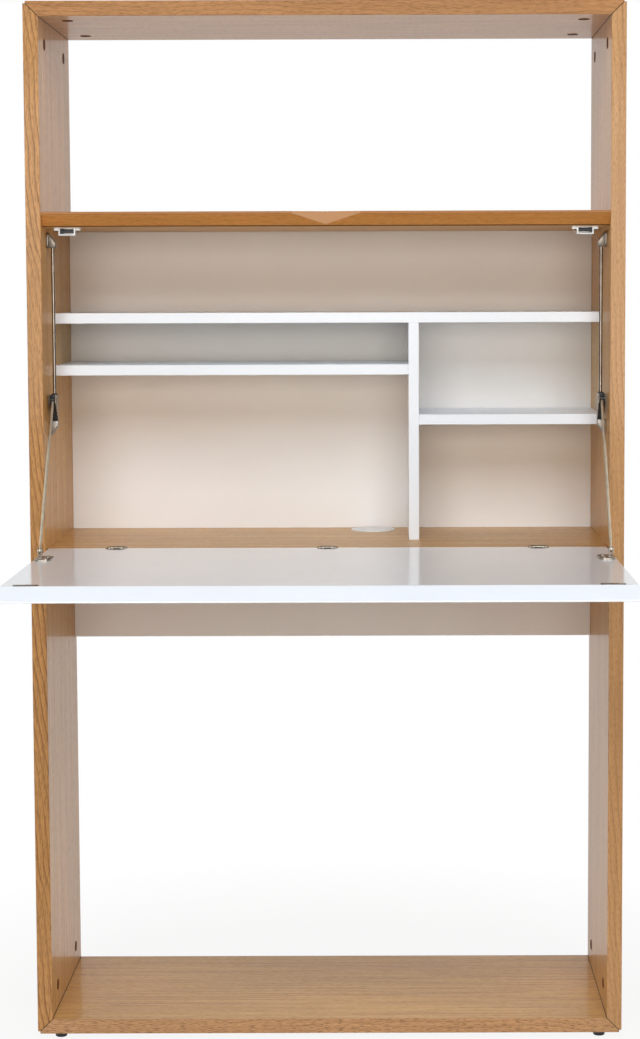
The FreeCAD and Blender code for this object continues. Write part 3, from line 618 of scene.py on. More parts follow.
@dataclass
class Screw:
    """Cross-slotted pan-head screw; its head stands on its own origin and its shank runs down."""

    head_dia: float = 6.0
    head_height: float = 1.6
    shank_dia: float = 3.0
    length: float = 12.0
    recess: float = 0.9
    arm_share: float = 0.27
    slot_share: float = 0.09
    rim_share: float = 0.72
    recess_share: float = 0.6

    def form(self) -> Form:
        """Make one screw: the cross, the head round it and the shank."""
        form, head, shank, top = Form(), self.head_dia / 2, self.shank_dia / 2, self.head_height
        arm, half = self.head_dia * self.arm_share, self.head_dia * self.slot_share
        quarter = [Vector((x, y, top)) for x, y in ((arm, -half), (arm, half), (half, half))]
        turns = [Matrix.Rotation(step * FULL_TURN / 4, 3, "Z") for step in range(4)]
        cross = form.bm.faces.new([form.bm.verts.new(turn @ point) for turn in turns for point in quarter])
        bmesh.ops.subdivide_edges(form.bm, edges=cross.edges[:], cuts=1)
        rim, place = head * self.rim_share, move(UP * top)
        loop = bmesh.ops.create_circle(form.bm, segments=24, radius=rim, matrix=place)["verts"]
        edges = list(dict.fromkeys(edge for vert in loop for edge in vert.link_edges))
        bmesh.ops.bridge_loops(form.bm, edges=cross.edges[:] + edges)
        floor = bmesh.ops.extrude_discrete_faces(form.bm, faces=[cross])["faces"][0]
        bmesh.ops.scale(form.bm, vec=(self.recess_share, self.recess_share, 1), verts=floor.verts)
        bmesh.ops.translate(form.bm, vec=UP * -self.recess, verts=floor.verts)
        # From the slotted top over the rounded head, and down the shank to its point.
        rings = [
            (rim, top), (head * 0.93, top * 0.75), (head, top * 0.35), (head, 0.0), (shank, 0.0),
            (shank, -self.length * 0.75), (shank / 5, -self.length),
        ]
        return form.loft(edges, [(radius, radius, height) for radius, height in rings])

    def drive(self, node: str, places: Sequence[Matrix], body: str, name: str = "") -> None:
        """Drive equal screws into a body at places, as the piece of a CAD node."""
        add_piece(self.form().at(*places), node, "driven", SCREW_STEEL, body, name)


@dataclass
class Carcass:
    """The oak frame, the cabinet boards and the white panels, which keep their CAD solids."""

    notch_half_width: float = 54.0
    notch_depth: float = 17.0
    arris: float = 1.3
    cover_dia: float = 19.0
    cover_height: float = 0.9
    cover_edge: float = 0.5
    fitting_inset: float = 40.0
    back_screw_length: float = 40.0
    back_screw_share: float = 0.342

    def dress(self) -> None:
        """Give every board its finish."""
        _, floor = box_mm("bottom_panel")
        roof, _ = box_mm("top_panel")
        _, inner = box_mm("back_panel")
        front, _ = box_mm("cabinet_top_panel")
        # Dark lines where the mitres meet: the joint line on the front lipping, and painted shade along the inner
        # corners where the boards meet.
        mitres = (SeamAndPaintedLight((1, 0, 1), inner.x + floor.z), SeamAndPaintedLight((1, 0, -1), inner.x - roof.z))
        lean = self.notch_depth / self.notch_half_width
        edges = (
            # Painted shade over the cabinet top's front land.
            SeamAndPaintedLight((0, 1, 0), -front.y, "#A8703C"),
            # A painted sheen on the facets of the finger notch.
            SeamAndPaintedLight((-lean, 1, 0), -front.y - self.notch_depth, "#C5946A"),
            # A dark line along the lower edge of the bevel.
            SeamAndPaintedLight((0, 0, 1), front.z + self.arris),
        )
        boards = (
            OakVeneer("left side", Grain.UPRIGHT, (31, 420, 160), seams_and_painted_light=mitres),
            OakVeneer(
                "right side", Grain.UPRIGHT, (-73, 150, 900), lip_pale="#CE9C66", lip_dark="#825030", ring_slant=-4.0,
                ring_share=0.4, pore_mm=1.0, pore_share=0.28, knot_mm=2.4, seams_and_painted_light=mitres,
            ),
            OakVeneer(
                "top", Grain.LEVEL, (700, 90, 13), lip_pale="#BE8750", ring_slant=2.0, ring_share=0.3, ring_mm=8.0,
                seams_and_painted_light=mitres,
            ),
            # The bottom's paler lipping is partly painted sheen on its front edge; the rest is the board's own
            # colour.
            OakVeneer(
                "bottom", Grain.LEVEL, (-350, 610, 57), lip_pale="#CE9D6C", lip_dark="#855634", ring_slant=1.5,
                ring_share=0.35, pore_mm=1.3, pore_share=0.5, seams_and_painted_light=mitres,
            ),
            # The cabinet top's paler faces and lighter lipping are painted light on its shaded underside and its
            # downward-facing bevel.
            OakVeneer(
                "cabinet top", Grain.LEVEL, (90, 330, 240), lip_pale="#CF8D47", lip_dark="#985C24", lip_from=178.0,
                ring_slant=0.6, ring_share=0.15, pore_share=0.25, pale="#ECBA74", tan="#C8904E", coat=0.15,
                specular=0.2, seams_and_painted_light=edges, line_mm=0.45,
            ),
            OakVeneer("cabinet floor", Grain.LEVEL, (510, -260, 81), lip_from=175.0),
        )
        for finish in boards:
            dress_nodes(finish, finish.board.replace(" ", "_") + "_panel")
        dress_nodes(WHITE_LACQUER, "flap_panel")
        dress_nodes(WHITE_SATIN, "upper_shelf", "left_shelf", "right_shelf", "divider_panel")
        dress_nodes(WHITE_BOARD, "back_panel")
        dress_nodes(ZINC, "mitre_bolts", "cam_locks")
        dress_nodes(BEECH, "panel_dowels")

    def build(self) -> None:
        """Make the caps over the cam locks and the two rows of screws in the back panel."""
        low, high = box_mm("cam_covers")
        radius, tall, edge = self.cover_dia / 2, self.cover_height, self.cover_edge
        cap = Form.turned([
            (0, 0), (radius, 0), (radius, tall - edge), (radius - edge, tall), (radius - 3 * edge, tall),
            (radius - 4 * edge, tall - edge / 2), (0, tall - edge / 3),
        ])
        places = []
        for y in (low.y + radius, high.y - radius):
            places.append(along(-UP, Vector((high.x - self.fitting_inset, y, high.z))))
            for z in (high.z - self.fitting_inset, low.z + radius):
                places.append(along(-RIGHT, Vector((high.x, y, z))))
        add_piece(cap.at(*both_sides(places)), "cam_covers", "moulded", OAK_CAP, "frame", "cam_caps")
        low, high = box_mm("back_panel_screws")
        screw = Screw(length=self.back_screw_length)
        half, seat = screw.head_dia / 2, high.y - screw.head_height
        columns = [(high.x - half) * share for share in (-1, -self.back_screw_share, self.back_screw_share, 1)]
        places = [along(BACK, Vector((x, seat, z))) for z in (low.z + half, high.z - half) for x in columns]
        screw.drive("back_panel_screws", places, "frame", "back_screws")


@dataclass
class Hinges:
    """Three hinges of the flap, each with a cup on both sides of the joint and a pin between them."""

    cup_dia: float = 35.0
    cup_edge: float = 8.0
    cup_depth: float = 11.0
    cup_gap: float = 3.6
    proud: float = 0.8
    rim: float = 4.8
    dish_depth: float = 6.0
    well_rim: float = 1.6
    well_depth: float = 0.5
    press_radius: float = 0.45
    lip_gap: float = 1.2
    lip_lap: float = 0.6
    lip_soft: float = 0.35
    knuckle_dia: float = 6.0
    knuckle_half: float = 5.0
    knuckle_gap: float = 0.4
    knuckle_edge: float = 0.3
    neck_lap: float = 0.8
    neck_soft: float = 0.25
    ear: float = 5.0
    pin_dia: float = 3.0
    pin_edge: float = 0.4
    pin_play: float = 0.05
    screw_spacing: float = 13.0
    screw_lead: float = 3.5
    # How far the cross of each screw was left turned, in radians, and how far the two of a cup differ.
    screw_turn: float = 0.2
    screw_differ: float = 0.5

    def knuckle(self, start: float, stop: float) -> Form:
        """Make one knuckle along X between two ends, with the neck that joins it to its cup at the back."""
        outer, bore, lap = self.knuckle_dia / 2, self.pin_dia / 2 + self.pin_play, self.neck_lap
        tube = Form.bar(outer, 0.0, stop - start, self.knuckle_edge, 32, bore).at(along(RIGHT, RIGHT * start))
        return tube.take(Form.block((start, outer - lap, -outer), (stop, self.cup_gap + lap, 0), self.neck_soft))

    def half(self, spans: Sequence[Pair]) -> Form:
        """Make one half of a hinge, with its cup towards the back of the joint line.

        Args:
            spans: the stretches along X of its own knuckles.

        Returns:
            The half hinge about the joint line.
        """
        form, radius = Form(), self.cup_dia / 2
        centre = move((0, self.cup_edge, self.proud))
        bmesh.ops.create_circle(form.bm, cap_ends=True, radius=radius, segments=72, matrix=centre)
        form.cut_off(BACK * self.cup_gap, -BACK)
        form.bm.faces.ensure_lookup_table()
        dish = form.sink(form.bm.faces[0], self.rim, -UP * (self.dish_depth + self.proud))
        form.sink(dish, self.well_rim, -UP * self.well_depth)
        edges = [edge for edge in form.bm.edges if edge.is_boundary]
        form.loft(edges, [(1, 1, self.proud), (1, 1, -self.cup_depth)])
        form.soften(self.press_radius, 3, reaches(UP, self.proud))
        inner = self.knuckle_half + self.ear + 2 * self.knuckle_gap
        outer = math.sqrt(radius ** 2 - (self.cup_edge - self.lip_gap) ** 2)
        low = (inner, self.lip_gap, -self.knuckle_dia / 2)
        high = (outer, self.cup_gap + self.lip_lap, self.proud)
        form.take(Form.block(low, high, self.lip_soft), HERE, MIRROR)
        for span in spans:
            form.take(self.knuckle(*span))
        return form

    def build(self) -> None:
        """Make the cups, pins and screws of all three hinges."""
        inner, drop = self.knuckle_half + self.knuckle_gap, self.knuckle_dia / 2
        reach = inner + self.ear
        halves = {
            "floor": ("frame", [(-self.knuckle_half, self.knuckle_half)], HERE),
            "flap": ("flap", [(-reach, -inner), (inner, reach)], Matrix.Rotation(math.pi, 4, "Z")),
        }
        pins, screws = [], {where: [] for where in halves}
        for label in ("left", "middle", "right"):
            low, high = box_mm(label + "_hinge_floor_cup")
            line = Vector(((low.x + high.x) / 2, low.y + drop, high.z - drop))
            pins.append(along(RIGHT, line - RIGHT * reach))
            for where, (body, spans, turn) in halves.items():
                place, node = move(line) @ turn, f"{label}_hinge_{where}_cup"
                add_piece(self.half(spans).at(place), node, "pressed", NICKEL, body)
                for way in (-1, 1):
                    seat = Vector((way * self.screw_spacing / 2, self.cup_edge + self.screw_lead, -self.dish_depth))
                    left_at = Matrix.Rotation(way * self.screw_differ + self.screw_turn, 4, "Z")
                    screws[where].append(place @ move(seat) @ left_at)
        pin = Form.bar(self.pin_dia / 2, 0.0, 2 * reach, self.pin_edge, 24)
        add_piece(pin.at(*pins), "hinge_pins", "turned", SCREW_STEEL, "frame")
        for where, (body, _, _) in halves.items():
            Screw().drive(f"hinge_{where}_screws", screws[where], body)


@dataclass
class Stays:
    """Two braked flap stays: brackets, guide rod, slider and arm on each side, and the clevis on the flap."""

    bracket_plate: float = 3.0
    bracket_boss: float = 14.0
    bracket_lip: float = 9.0
    bracket_corner: float = 4.0
    # The bracket's two screws, as shares of its height.
    bracket_seats: Pair = (0.78, 0.22)
    cast_radius: float = 0.9
    plate_edge: float = 0.5
    rod_edge: float = 0.6
    cage_sheet: float = 1.2
    cage_foot: float = 4.0
    cage_nose: float = 6.0
    cage_drop: float = 36.5
    cage_edge: float = 0.3
    bend_radius: float = 1.6
    rivet_dia: float = 8.0
    rivet_height: float = 1.2
    bore_play: float = 0.08
    block_edge: float = 0.6
    ribs: int = 7
    rib_first: float = 5.0
    rib_pitch: float = 5.5
    rib_height: float = 2.4
    rib_inset: float = 1.0
    rib_proud: float = 0.5
    rib_soft: float = 0.4
    collar_wall: float = 1.5
    collar_edge: float = 0.6
    collar_height: float = 2.2
    collar_lap: float = 0.2
    pivot_lead: float = 26.5
    arm_dia: float = 5.0
    hub_dia: float = 10.0
    hub_edge: float = 0.8
    eye_dia: float = 10.0
    eye_width: float = 3.0
    eye_edge: float = 0.5
    neck: float = 9.0
    slot_gap: float = 0.3
    plate_thickness: float = 2.5
    plate_corner: float = 7.0
    # The plate's three screws, as shares of its width and length.
    plate_seats: tuple[Pair, ...] = ((0.28, 0.42), (0.66, 0.66), (0.28, 0.90))
    lug_width: float = 10.0
    lug_sheet: float = 1.6
    lug_edge: float = 0.25
    pin_dia: float = 4.0
    pin_play: float = 0.05
    pin_head: float = 0.9
    pivot_rise: float = 12.0
    plate_lead: float = 12.0

    def bracket(self, node: str, flip: bool) -> Form:
        """Make a cast bracket that holds one end of the rod.

        Args:
            node: the right-hand CAD node.
            flip: true for the lower bracket, whose rod comes in from above.

        Returns:
            The bracket.
        """
        low, high = box_mm(node)
        near, far, lip = (high.z, low.z, -self.bracket_lip) if flip else (low.z, high.z, self.bracket_lip)
        foot, front = high.x - self.bracket_plate, (low.y + high.y) / 2 - self.bracket_boss / 2
        corners = [(high.x, near), (low.x, near), (low.x, near + lip), (foot, far), (high.x, far)]
        boss = Form.prism(((x, front, z) for x, z in corners), BACK * self.bracket_boss, self.cast_radius)
        plate = Form.block((foot, low.y, low.z), high).soften(self.bracket_corner, 5, runs(RIGHT))
        return plate.soften(self.plate_edge, 2, least=SQUARE).take(boss)

    def bracket_screws(self, node: str) -> list[Matrix]:
        """Places of the two screws on a bracket's ears."""
        foot, size = stand(node)
        face, ear = foot.x + size.x / 2 - self.bracket_plate, (size.y + self.bracket_boss) / 4
        seats = zip((foot.y - ear, foot.y + ear), self.bracket_seats)
        return [along(-RIGHT, Vector((face, y, foot.z + share * size.z))) for y, share in seats]

    def rod(self) -> Form:
        """Make the ground guide rod with bevelled ends."""
        foot, size = stand("right_stay_guide_rod")
        return Form.bar(size.x / 2, 0.0, size.z, self.rod_edge, 32).at(move(foot))

    def pivots(self) -> tuple[Vector, Vector]:
        """Places of the arm's pivot in the clevis and of its pivot in the slider."""
        rod, _ = stand("right_stay_guide_rod")
        cage, _ = box_mm("right_stay_slider_cage")
        low, high = box_mm("right_stay_flap_plate")
        foot = Vector((rod.x, high.y - self.plate_lead, low.z + self.pivot_rise))
        return foot, Vector((rod.x, rod.y - self.pivot_lead, cage.z + self.cage_drop))

    def cage(self) -> Form:
        """Make the folded sheet cage of the slider, with its rivet heads."""
        low, high = box_mm("right_stay_slider_cage")
        _, head = self.pivots()
        outer, web = (high.x - low.x) / 2 - self.rivet_height, high.y - self.cage_sheet
        inner = outer - self.cage_sheet
        corners = [
            (-outer, high.y), (outer, high.y), (outer, low.y), (inner, low.y),
            (inner, web), (-inner, web), (-inner, low.y), (-outer, low.y),
        ]
        form = Form.prism(((head.x + x, y, low.z) for x, y in corners), UP * (high.z - low.z))
        form.soften(self.bend_radius, 4, runs(UP), reaches(BACK, high.y))
        rise = head.z - self.cage_nose - low.z
        back = head.y + self.pivot_lead - self.cage_foot - low.y
        form.cut_off(Vector((head.x, low.y, low.z + rise)), Vector((0, -rise, -back)))
        form.close().soften(self.cage_edge, 1, least=SQUARE)
        dome, radius = self.rivet_height, self.rivet_dia / 2
        rivet = Form.turned([(0, 0), (radius, 0), (radius, dome * 0.4), (radius * 0.8, dome * 0.85), (0, dome)], 32)
        return form.take(rivet, *(along(RIGHT * way, head + RIGHT * way * outer) for way in (1, -1)))

    def brake(self) -> Form:
        """Make the moulded brake block, bored for the rod, with grip ribs in front and a collar on top."""
        low, high = box_mm("right_stay_brake_block")
        base, size = stand("right_stay_brake_block")
        rod, rod_size = stand("right_stay_guide_rod")
        rod.z = low.z
        bore = rod_size.x / 2 + self.bore_play
        form, shrink = Form(), math.sqrt(0.5)
        fit = Matrix.Diagonal((size.x * shrink, size.y * shrink, 1, 1))
        square = move(base) @ fit @ Matrix.Rotation(FULL_TURN / 8, 4, "Z")
        bmesh.ops.create_circle(form.bm, segments=4, radius=1.0, matrix=square)
        bmesh.ops.subdivide_edges(form.bm, edges=form.bm.edges[:], cuts=5)
        bmesh.ops.create_circle(form.bm, segments=24, radius=bore, matrix=move(rod))
        bmesh.ops.bridge_loops(form.bm, edges=form.bm.edges[:])
        form.raise_sheet(form.bm.faces[:], UP * size.z)
        form.soften(self.block_edge, 2, least=SQUARE)
        inset = self.rib_inset
        for step in range(self.ribs):
            z = low.z + self.rib_first + self.rib_pitch * step
            near = (low.x + inset, low.y - self.rib_proud, z)
            far = (high.x - inset, low.y + inset, z + self.rib_height)
            form.take(Form.block(near, far, self.rib_soft))
        rim, tall, edge = bore + self.collar_wall, self.collar_height, self.collar_edge
        ring = [(bore, 0), (rim, 0), (rim, tall - edge), (rim - edge, tall), (bore, tall), (bore, 0)]
        return form.take(Form.turned(ring, 32), move(rod + UP * (size.z - self.collar_lap)))

    def arm(self) -> tuple[Form, Form]:
        """Make the arm: a drawn bar with a flattened eye at the flap, and its hub in the slider.

        Returns:
            The bar and the hub.
        """
        foot, head = self.pivots()
        reach = head - foot
        length, radius, half, neck = reach.length, self.arm_dia / 2, self.eye_width / 2, self.neck
        form, flat = Form(), half / radius
        bmesh.ops.create_circle(form.bm, segments=24, radius=radius, matrix=move(UP * length))
        # Widths beside the round bar's: it is pressed flat and broader towards the eye.
        form.loft(form.bm.edges[:], [
            (1, 1, length), (1, 1, length / 2), (1, 1, 2 * neck), (0.82, 1.1, neck + 4), (flat, 1.22, neck),
            (flat, 1.22, neck / 3),
        ])
        eye = Form.bar(self.eye_dia / 2, -half, half, self.eye_edge, 40, self.pin_dia / 2 + self.pin_play)
        form.take(eye, along(RIGHT, Vector()))
        _, cage = box_mm("right_stay_slider_cage")
        wide = cage.x - self.rivet_height - self.cage_sheet - self.slot_gap - head.x
        hub = Form.bar(self.hub_dia / 2, -wide, wide, self.hub_edge, 40)
        return form.at(along(reach.normalized(), foot)), hub.at(along(RIGHT, head))

    def clevis(self) -> tuple[Form, Form, list[Matrix]]:
        """Make the plate on the flap.

        Returns:
            The plate with its lugs, its pin, and the places of its screws.
        """
        low, high = box_mm("right_stay_flap_plate")
        foot, _ = self.pivots()
        top = low.z + self.plate_thickness
        plate = Form.block(low, (high.x, high.y, top)).soften(self.plate_corner, 6, runs(UP))
        plate.soften(self.plate_edge, 2, reaches(UP, top))
        inner, half, sheet = self.eye_width / 2 + self.slot_gap, self.lug_width / 2, self.lug_sheet
        for x in (foot.x - inner - sheet, foot.x + inner):
            lug = Form.block((x, foot.y - half, low.z), (x + sheet, foot.y + half, foot.z + half))
            lug.soften(half - 2 * HAIR, 8, reaches(UP, foot.z + half), runs(RIGHT, sheet / 2))
            plate.take(lug.soften(self.lug_edge, 1, least=SQUARE))
        reach, radius = inner + sheet, self.pin_dia / 2
        head, end = radius + self.pin_head, -reach - self.pin_head
        profile = [(0, end), (head - 0.6, end), (head, end + 0.5), (head, -reach), (radius, -reach)]
        profile += [(r, -h) for r, h in reversed(profile)]
        pin = Form.turned(profile, 32).at(along(RIGHT, foot))
        wide, long = high.x - low.x, high.y - low.y
        places = [move((low.x + a * wide, high.y - b * long, top)) for a, b in self.plate_seats]
        return plate, pin, places

    def build(self) -> None:
        """Make both stays."""
        plate, pin, plate_screws = self.clevis()
        bar, hub = self.arm()
        top, lower = "right_stay_top_bracket", "right_stay_lower_bracket"
        parts = {
            "top_bracket": (self.bracket(top, False), ZINC, "frame", "zinc_casting"),
            "lower_bracket": (self.bracket(lower, True), ZINC, "frame", "zinc_casting"),
            "guide_rod": (self.rod(), GROUND_STEEL, "frame", "steel_bar"),
            "slider_cage": (self.cage(), POLISHED_SHEET, "slider", "steel_sheet"),
            "brake_block": (self.brake(), BLACK_NYLON, "slider", "black_plastic"),
            "arm": (bar, DRAWN_STEEL, "arm", "steel_bar"),
            "flap_plate": (plate, ZINC, "flap", "steel_sheet"),
            "clevis_pin": (pin, SCREW_STEEL, "flap", "steel_bar"),
        }
        for side in Side:
            stay, arm = side.value + "_stay_", side.value + "_arm"
            for part, (form, finish, body, slot) in parts.items():
                rides = f"{side.value}_{body}" if body in ("slider", "arm") else body
                add_piece(form.at(side.place), stay + part, "made", finish, rides)
            add_piece(hub.at(side.place), stay + "arm", "hub", BLACK_NYLON, arm)
        seats = self.bracket_screws(lower) + self.bracket_screws(top)
        Screw().drive("stay_bracket_screws", both_sides(seats), "frame")
        Screw().drive("stay_flap_screws", both_sides(plate_screws), "flap")


@dataclass
class Catches:
    """Magnetic catches under the cabinet top and the strike plates they hold."""

    flange_height: float = 5.5
    body_width: float = 28.0
    body_edge: float = 0.5
    wall: float = 2.4
    cavity: float = 13.2
    ear_lap: float = 0.6
    ear_corner: float = 3.0
    ear_edge: float = 0.4
    pole_edge: float = 0.3
    magnet_inset: float = 0.2
    magnet_edge: float = 0.5
    screw_inset: float = 4.2
    strike_corner: float = 3.5
    strike_edge: float = 0.35
    strike_screw_spacing: float = 20.0
    strike_screw_sunk: float = 0.25

    def housing(self) -> Form:
        """Make the moulded housing: a hollow body open to the front, with an ear on each side."""
        low, high = box_mm("right_catch_housing")
        middle, half = (low.x + high.x) / 2, self.body_width / 2
        form = Form.block((middle - half, low.y, low.z), (middle + half, high.y, high.z))
        mouth = min(form.bm.faces, key=lambda face: face.calc_center_median().y)
        form.sink(mouth, self.wall, BACK * self.cavity)
        form.soften(self.body_edge, 2, least=SQUARE)
        ear = Form.block((middle + half - self.ear_lap, low.y, high.z - self.flange_height), high)
        ear.soften(self.ear_corner, 5, reaches(RIGHT, high.x), runs(UP)).soften(self.ear_edge, 2, least=SQUARE)
        return form.take(ear, HERE, move((2 * middle, 0, 0)) @ MIRROR)

    def poles(self) -> tuple[Form, Form]:
        """Make the two pole plates of the right-hand catch, and the magnet between them."""
        middle, _ = stand("right_catch_housing")
        low, high = box_mm("catch_pole_plates")
        magnet_low, magnet_high = box_mm("catch_magnets")
        left = 2 * middle.x - high.x
        plates = Form()
        for z0, z1 in ((low.z, magnet_low.z), (magnet_high.z, high.z)):
            plates.take(Form.block((left, low.y, z0), (high.x, high.y, z1), self.pole_edge))
        magnet_low.x = left + self.magnet_inset
        return plates, Form.block(magnet_low, magnet_high, self.magnet_edge)

    def strike(self) -> tuple[Form, list[Matrix]]:
        """Make a strike plate, and give the places of its countersunk screws."""
        low, high = box_mm("right_strike_plate")
        plate = Form.block(low, high).soften(self.strike_corner, 6, runs(UP, 0.5))
        plate.soften(self.strike_edge, 2, reaches(UP, high.z))
        seat = Vector(((low.x + high.x) / 2, (low.y + high.y) / 2, high.z - self.strike_screw_sunk))
        return plate, [move(seat + RIGHT * way * self.strike_screw_spacing / 2) for way in (-1, 1)]

    def build(self) -> None:
        """Make both catches and both strike plates."""
        plates, magnet = self.poles()
        strike, strike_seats = self.strike()
        housing = self.housing()
        for side in Side:
            node = side.value + "_catch_housing"
            add_piece(housing.at(side.place), node, "moulded", WHITE_ABS, "frame")
            node = side.value + "_strike_plate"
            add_piece(strike.at(side.place), node, "cut", STRIKE_STEEL, "flap")
        add_piece(plates.at(HERE, MIRROR), "catch_pole_plates", "cut", PLATED_SHEET, "frame")
        add_piece(magnet.at(HERE, MIRROR), "catch_magnets", "pressed", FERRITE, "frame")
        low, high = box_mm("right_catch_housing")
        ends = (low.x + self.screw_inset, high.x - self.screw_inset)
        seats = [along(-UP, Vector((x, (low.y + high.y) / 2, high.z - self.flange_height))) for x in ends]
        Screw().drive("catch_screws", both_sides(seats), "frame")
        Screw(head_dia=5.4, head_height=0.45, recess=0.4).drive("strike_screws", both_sides(strike_seats), "flap")


@dataclass
class Grommet:
    """White cable grommet in the cabinet floor: a flanged ring and a turning cap with a cable notch."""

    proud: float = 2.5
    barrel_dia: float = 62.0
    wall: float = 2.0
    ledge: float = 3.0
    length: float = 20.0
    seat_drop: float = 0.8
    seat_edge: float = 0.3
    fit: float = 0.3
    cap_thickness: float = 3.0
    cap_edge: float = 0.5
    notch_width: float = 20.0
    notch_depth: float = 15.0

    def cap(self) -> Form:
        """Make the cap about its own centre, with its top at the ring's top."""
        radius, half = self.barrel_dia / 2 - self.wall - self.fit, self.notch_width / 2
        bend, low = radius - self.notch_depth + half, self.proud - self.cap_thickness
        sweep = FULL_TURN - 2 * math.asin(half / radius)
        form = Form()
        arcs = ((math.sqrt(radius ** 2 - half ** 2), 0, sweep, 72), (bend, bend, math.pi, 20))
        for start, centre, angle, steps in arcs:
            vert = form.bm.verts.new((-half, start, low))
            bmesh.ops.spin(form.bm, geom=[vert], cent=(0, centre, low), axis=UP, angle=angle, steps=steps)
        ends = [vert for vert in form.bm.verts if len(vert.link_edges) == 1]
        for way in (-1, 1):
            form.bm.edges.new([vert for vert in ends if vert.co.x * way > 0])
        bmesh.ops.edgenet_fill(form.bm, edges=form.bm.edges[:])
        form.raise_sheet(form.bm.faces[:], UP * self.cap_thickness)
        return form.soften(self.cap_edge, 3, least=SQUARE)

    def build(self) -> None:
        """Make the ring and the cap."""
        foot, size = stand("grommet_ring")
        place = move(foot + UP * (size.z - self.proud))
        top, rim, barrel, edge = self.proud, size.x / 2, self.barrel_dia / 2, self.seat_edge
        seat = barrel - self.wall
        bore = seat - self.ledge
        # From the cap's seat over the rounded flange, down the barrel and up the bore to the seat's ledge.
        ring = Form.turned([
            (seat, top - edge), (seat + edge, top), (rim - 3.4, top), (rim - 1.4, top * 0.88), (rim - 0.4, top * 0.6),
            (rim, top * 0.25), (rim, 0), (barrel, 0), (barrel, -self.length), (bore, -self.length),
            (bore, -self.seat_drop), (seat, -self.seat_drop), (seat, top - edge),
        ], 96)
        for node, form, body in (("grommet_ring", ring, "frame"), ("grommet_cap", self.cap(), "cable_cap")):
            add_piece(form.at(place), node, "moulded", WHITE_ABS, body)


@dataclass
class Feet:
    """Four black glides screwed under the bottom board."""

    base_dia: float = 20.0
    recess_dia: float = 9.0
    recess: float = 8.0

    def build(self) -> None:
        """Make the glides and their screws."""
        seats = []
        base, hole, deep = self.base_dia / 2, self.recess_dia / 2, self.recess
        for corner in ("front_left", "front_right", "back_left", "back_right"):
            centre, size = stand(corner + "_foot")
            top, tall = size.x / 2, size.z
            # From the screw's recess round the base and up to the wider top.
            glide = Form.turned([
                (0, deep), (hole, deep), (hole, 0), (base - 1, 0), (base, 0.9), (base + 0.2, tall * 0.4),
                (top - 0.3, tall * 0.6), (top, tall * 0.7), (top, tall), (0, tall),
            ], 56)
            place = move(centre)
            add_piece(glide.at(place), corner + "_foot", "moulded", BLACK_GLIDE, "frame")
            seats.append(along(-UP, centre + UP * deep))
        Screw().drive("foot_screws", seats, "frame")


@dataclass(frozen=True)
class Lamp:
    """A soft box: its place, aim and size in metres, its power in watts and the colour of its light."""

    name: str
    at: Triple
    aim: Triple
    size: Pair
    power: float
    tint: str

    def hang(self) -> None:
        """Hang the lamp."""
        data = bpy.data.lights.new(self.name, "AREA")
        data.shape, data.energy, data.color = "RECTANGLE", self.power, colour(self.tint)[:3]
        data.size, data.size_y = self.size
        turn = (Vector(self.aim) - Vector(self.at)).to_track_quat("-Z", "Y")
        put(self.name, data).matrix_world = move(self.at) @ turn.to_matrix().to_4x4()


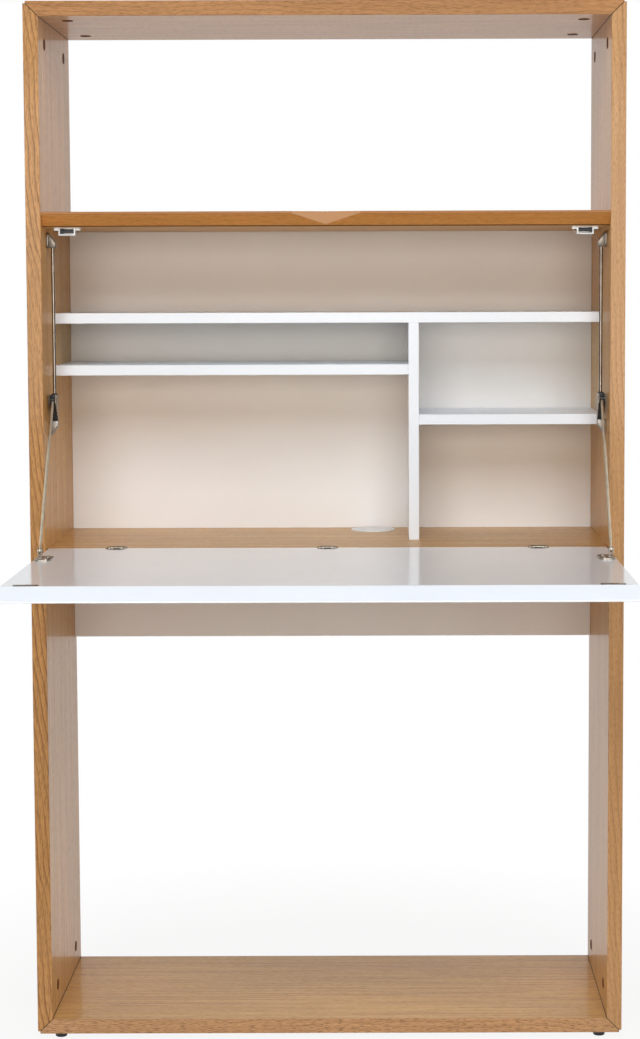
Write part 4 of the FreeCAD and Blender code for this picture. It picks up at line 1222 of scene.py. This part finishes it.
@dataclass
class Studio:
    """Camera, lights and floor."""

    photo_width: float = 640.0
    photo_height: float = 1039.0
    focal: float = 2458.4
    axis_px: Pair = (380.0, 500.0)
    eye: Triple = (97.1, -4319.6, 1283.5)
    yaw: float = -0.111
    pitch: float = -4.910
    roll: float = 0.183
    sight: float = 50.0
    floor_half: float = 9000.0
    floor_paint: str = "#E6E6E6"
    shadow_from: float = 550.0
    shadow_to: float = 1150.0
    shadow_share: float = 0.1
    ambient: float = 0.04
    backdrop: float = 0.4
    # Where the air's light, the mirrored sky and the mirrored floor (in metres) turn from room to backdrop.
    air_band: Pair = (0.1, 0.5)
    sky_band: Pair = (-0.35, 0.15)
    floor_band: Pair = (-1.6, -0.6)
    air: str = "#FFF6EA"
    # How bright mirrors see the room behind the camera, where the backdrop counts as 1.
    room: float = 0.15
    lamps: tuple[Lamp, ...] = (
        Lamp("left", (-3.75, -1.4, 2.4), (0.0, 0.0, 1.0), (1.2, 1.2), 28.0, "#FFF2E6"),
        Lamp("right", (3.75, -1.4, 2.4), (0.0, 0.0, 1.0), (1.2, 1.2), 28.0, "#FFF2E6"),
        Lamp("key", (0.0, -4.5, 3.85), (0.0, 0.0, 0.9), (3.6, 2.4), 168.0, "#E7F2FE"),
        Lamp("front", (0.0, -5.0, 1.42), (0.0, 0.0, 1.2), (3.2, 1.2), 65.0, "#FFF4E8"),
    )

    def camera(self) -> None:
        """Set the camera where the photograph was taken from."""
        data = bpy.data.cameras.new("camera")
        data.lens = self.focal / self.photo_height * data.sensor_width
        data.shift_x = (self.photo_width / 2 - self.axis_px[0]) / self.photo_height
        data.shift_y = (self.axis_px[1] - self.photo_height / 2) / self.photo_height
        data.clip_end = self.sight
        camera = put("camera", data)
        turns = ((-self.yaw, "Z"), (90 + self.pitch, "X"), (-self.roll, "Z"))
        aim, lift, tilt = (Matrix.Rotation(math.radians(angle), 4, axis) for angle, axis in turns)
        camera.matrix_world = move(Vector(self.eye) * MM) @ aim @ lift @ tilt
        bpy.context.scene.camera = camera

    def seen(self, add: Adder, way: NodeSocket, dark: float, pale: float) -> tuple[NodeSocket, NodeSocket]:
        """Tell what is seen from light that spreads, and how white it is.

        Args:
            add: add_node for the tree of the floor or of the world.
            way: distance or direction that runs from the camera's room to the backdrop.
            dark: where on that way the room ends.
            pale: where on that way the backdrop starts.

        Returns:
            One for what the eye, a mirror or glass sees and zero for light that spreads; and the white's strength,
            which is full for the eye and drops to the room's level for mirrors.
        """
        path = add("LightPath", {}).node.outputs
        direct = add("Math", (path["Is Camera Ray"], path["Is Glossy Ray"]), operation="ADD")
        direct = add("Math", (direct, path["Is Transmission Ray"]), operation="ADD", use_clamp=True)
        level = add("MapRange", (way, dark, pale, self.room, 1.0))
        return direct, add("Math", (level, path["Is Camera Ray"]), operation="MAXIMUM")

    def surroundings(self) -> None:
        """Make the white surroundings."""
        world = bpy.data.worlds.new("studio")
        bpy.context.scene.world = world
        add = start_nodes(world)
        way = add("SeparateXYZ", (add("TexCoord", {}, "Generated"),), "Y")
        level = add("MapRange", (way, *self.air_band, self.ambient, self.backdrop))
        spread = add("Background", {"Color": colour(self.air), "Strength": level})
        direct, level = self.seen(add, way, *self.sky_band)
        white = add("Background", {"Color": WHITE, "Strength": level})
        add("OutputWorld", {"Surface": add("MixShader", (direct, spread, white))})

    def floor(self) -> None:
        """Lay the pale floor, which keeps the soft shadow."""
        form, mesh = Form(), bpy.data.meshes.new("floor")
        bmesh.ops.create_grid(form.bm, x_segments=1, y_segments=1, size=self.floor_half * MM)
        form.bm.to_mesh(mesh)
        floor = put("floor", mesh)
        material = bpy.data.materials.new("white painted floor")
        add = start_nodes(material)
        paint = add("BsdfDiffuse", {"Color": colour(self.floor_paint)})
        place = add("TexCoord", {}, "Object")
        direct, level = self.seen(add, add("SeparateXYZ", (place,), "Y"), *self.floor_band)
        glow = add("Emission", {"Color": WHITE, "Strength": level})
        away = add("VectorMath", (place,), "Value", operation="LENGTH")
        plain = add("MapRange", (away, self.shadow_from * MM, self.shadow_to * MM, 1 - self.shadow_share, 1.0))
        share = add("Math", (direct, plain), operation="MULTIPLY")
        add("OutputMaterial", {"Surface": add("MixShader", (share, paint, glow))})
        mesh.materials.append(material)

    def build(self) -> None:
        """Set the whole studio."""
        bpy.context.scene.view_settings.view_transform = "Standard"
        self.camera()
        self.surroundings()
        self.floor()
        for lamp in self.lamps:
            lamp.hang()


def write_sizes() -> None:
    """Bring the scene's transforms up to date."""
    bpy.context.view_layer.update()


def main() -> None:
    """Build and dress every sub-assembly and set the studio."""
    logging.basicConfig(level=logging.INFO, format="%(name)s: %(message)s")
    carcass = Carcass()
    carcass.dress()
    for part in (carcass, Hinges(), Stays(), Catches(), Grommet(), Feet(), Studio()):
        part.build()
    write_sizes()


if __name__ == "__main__":
    main()
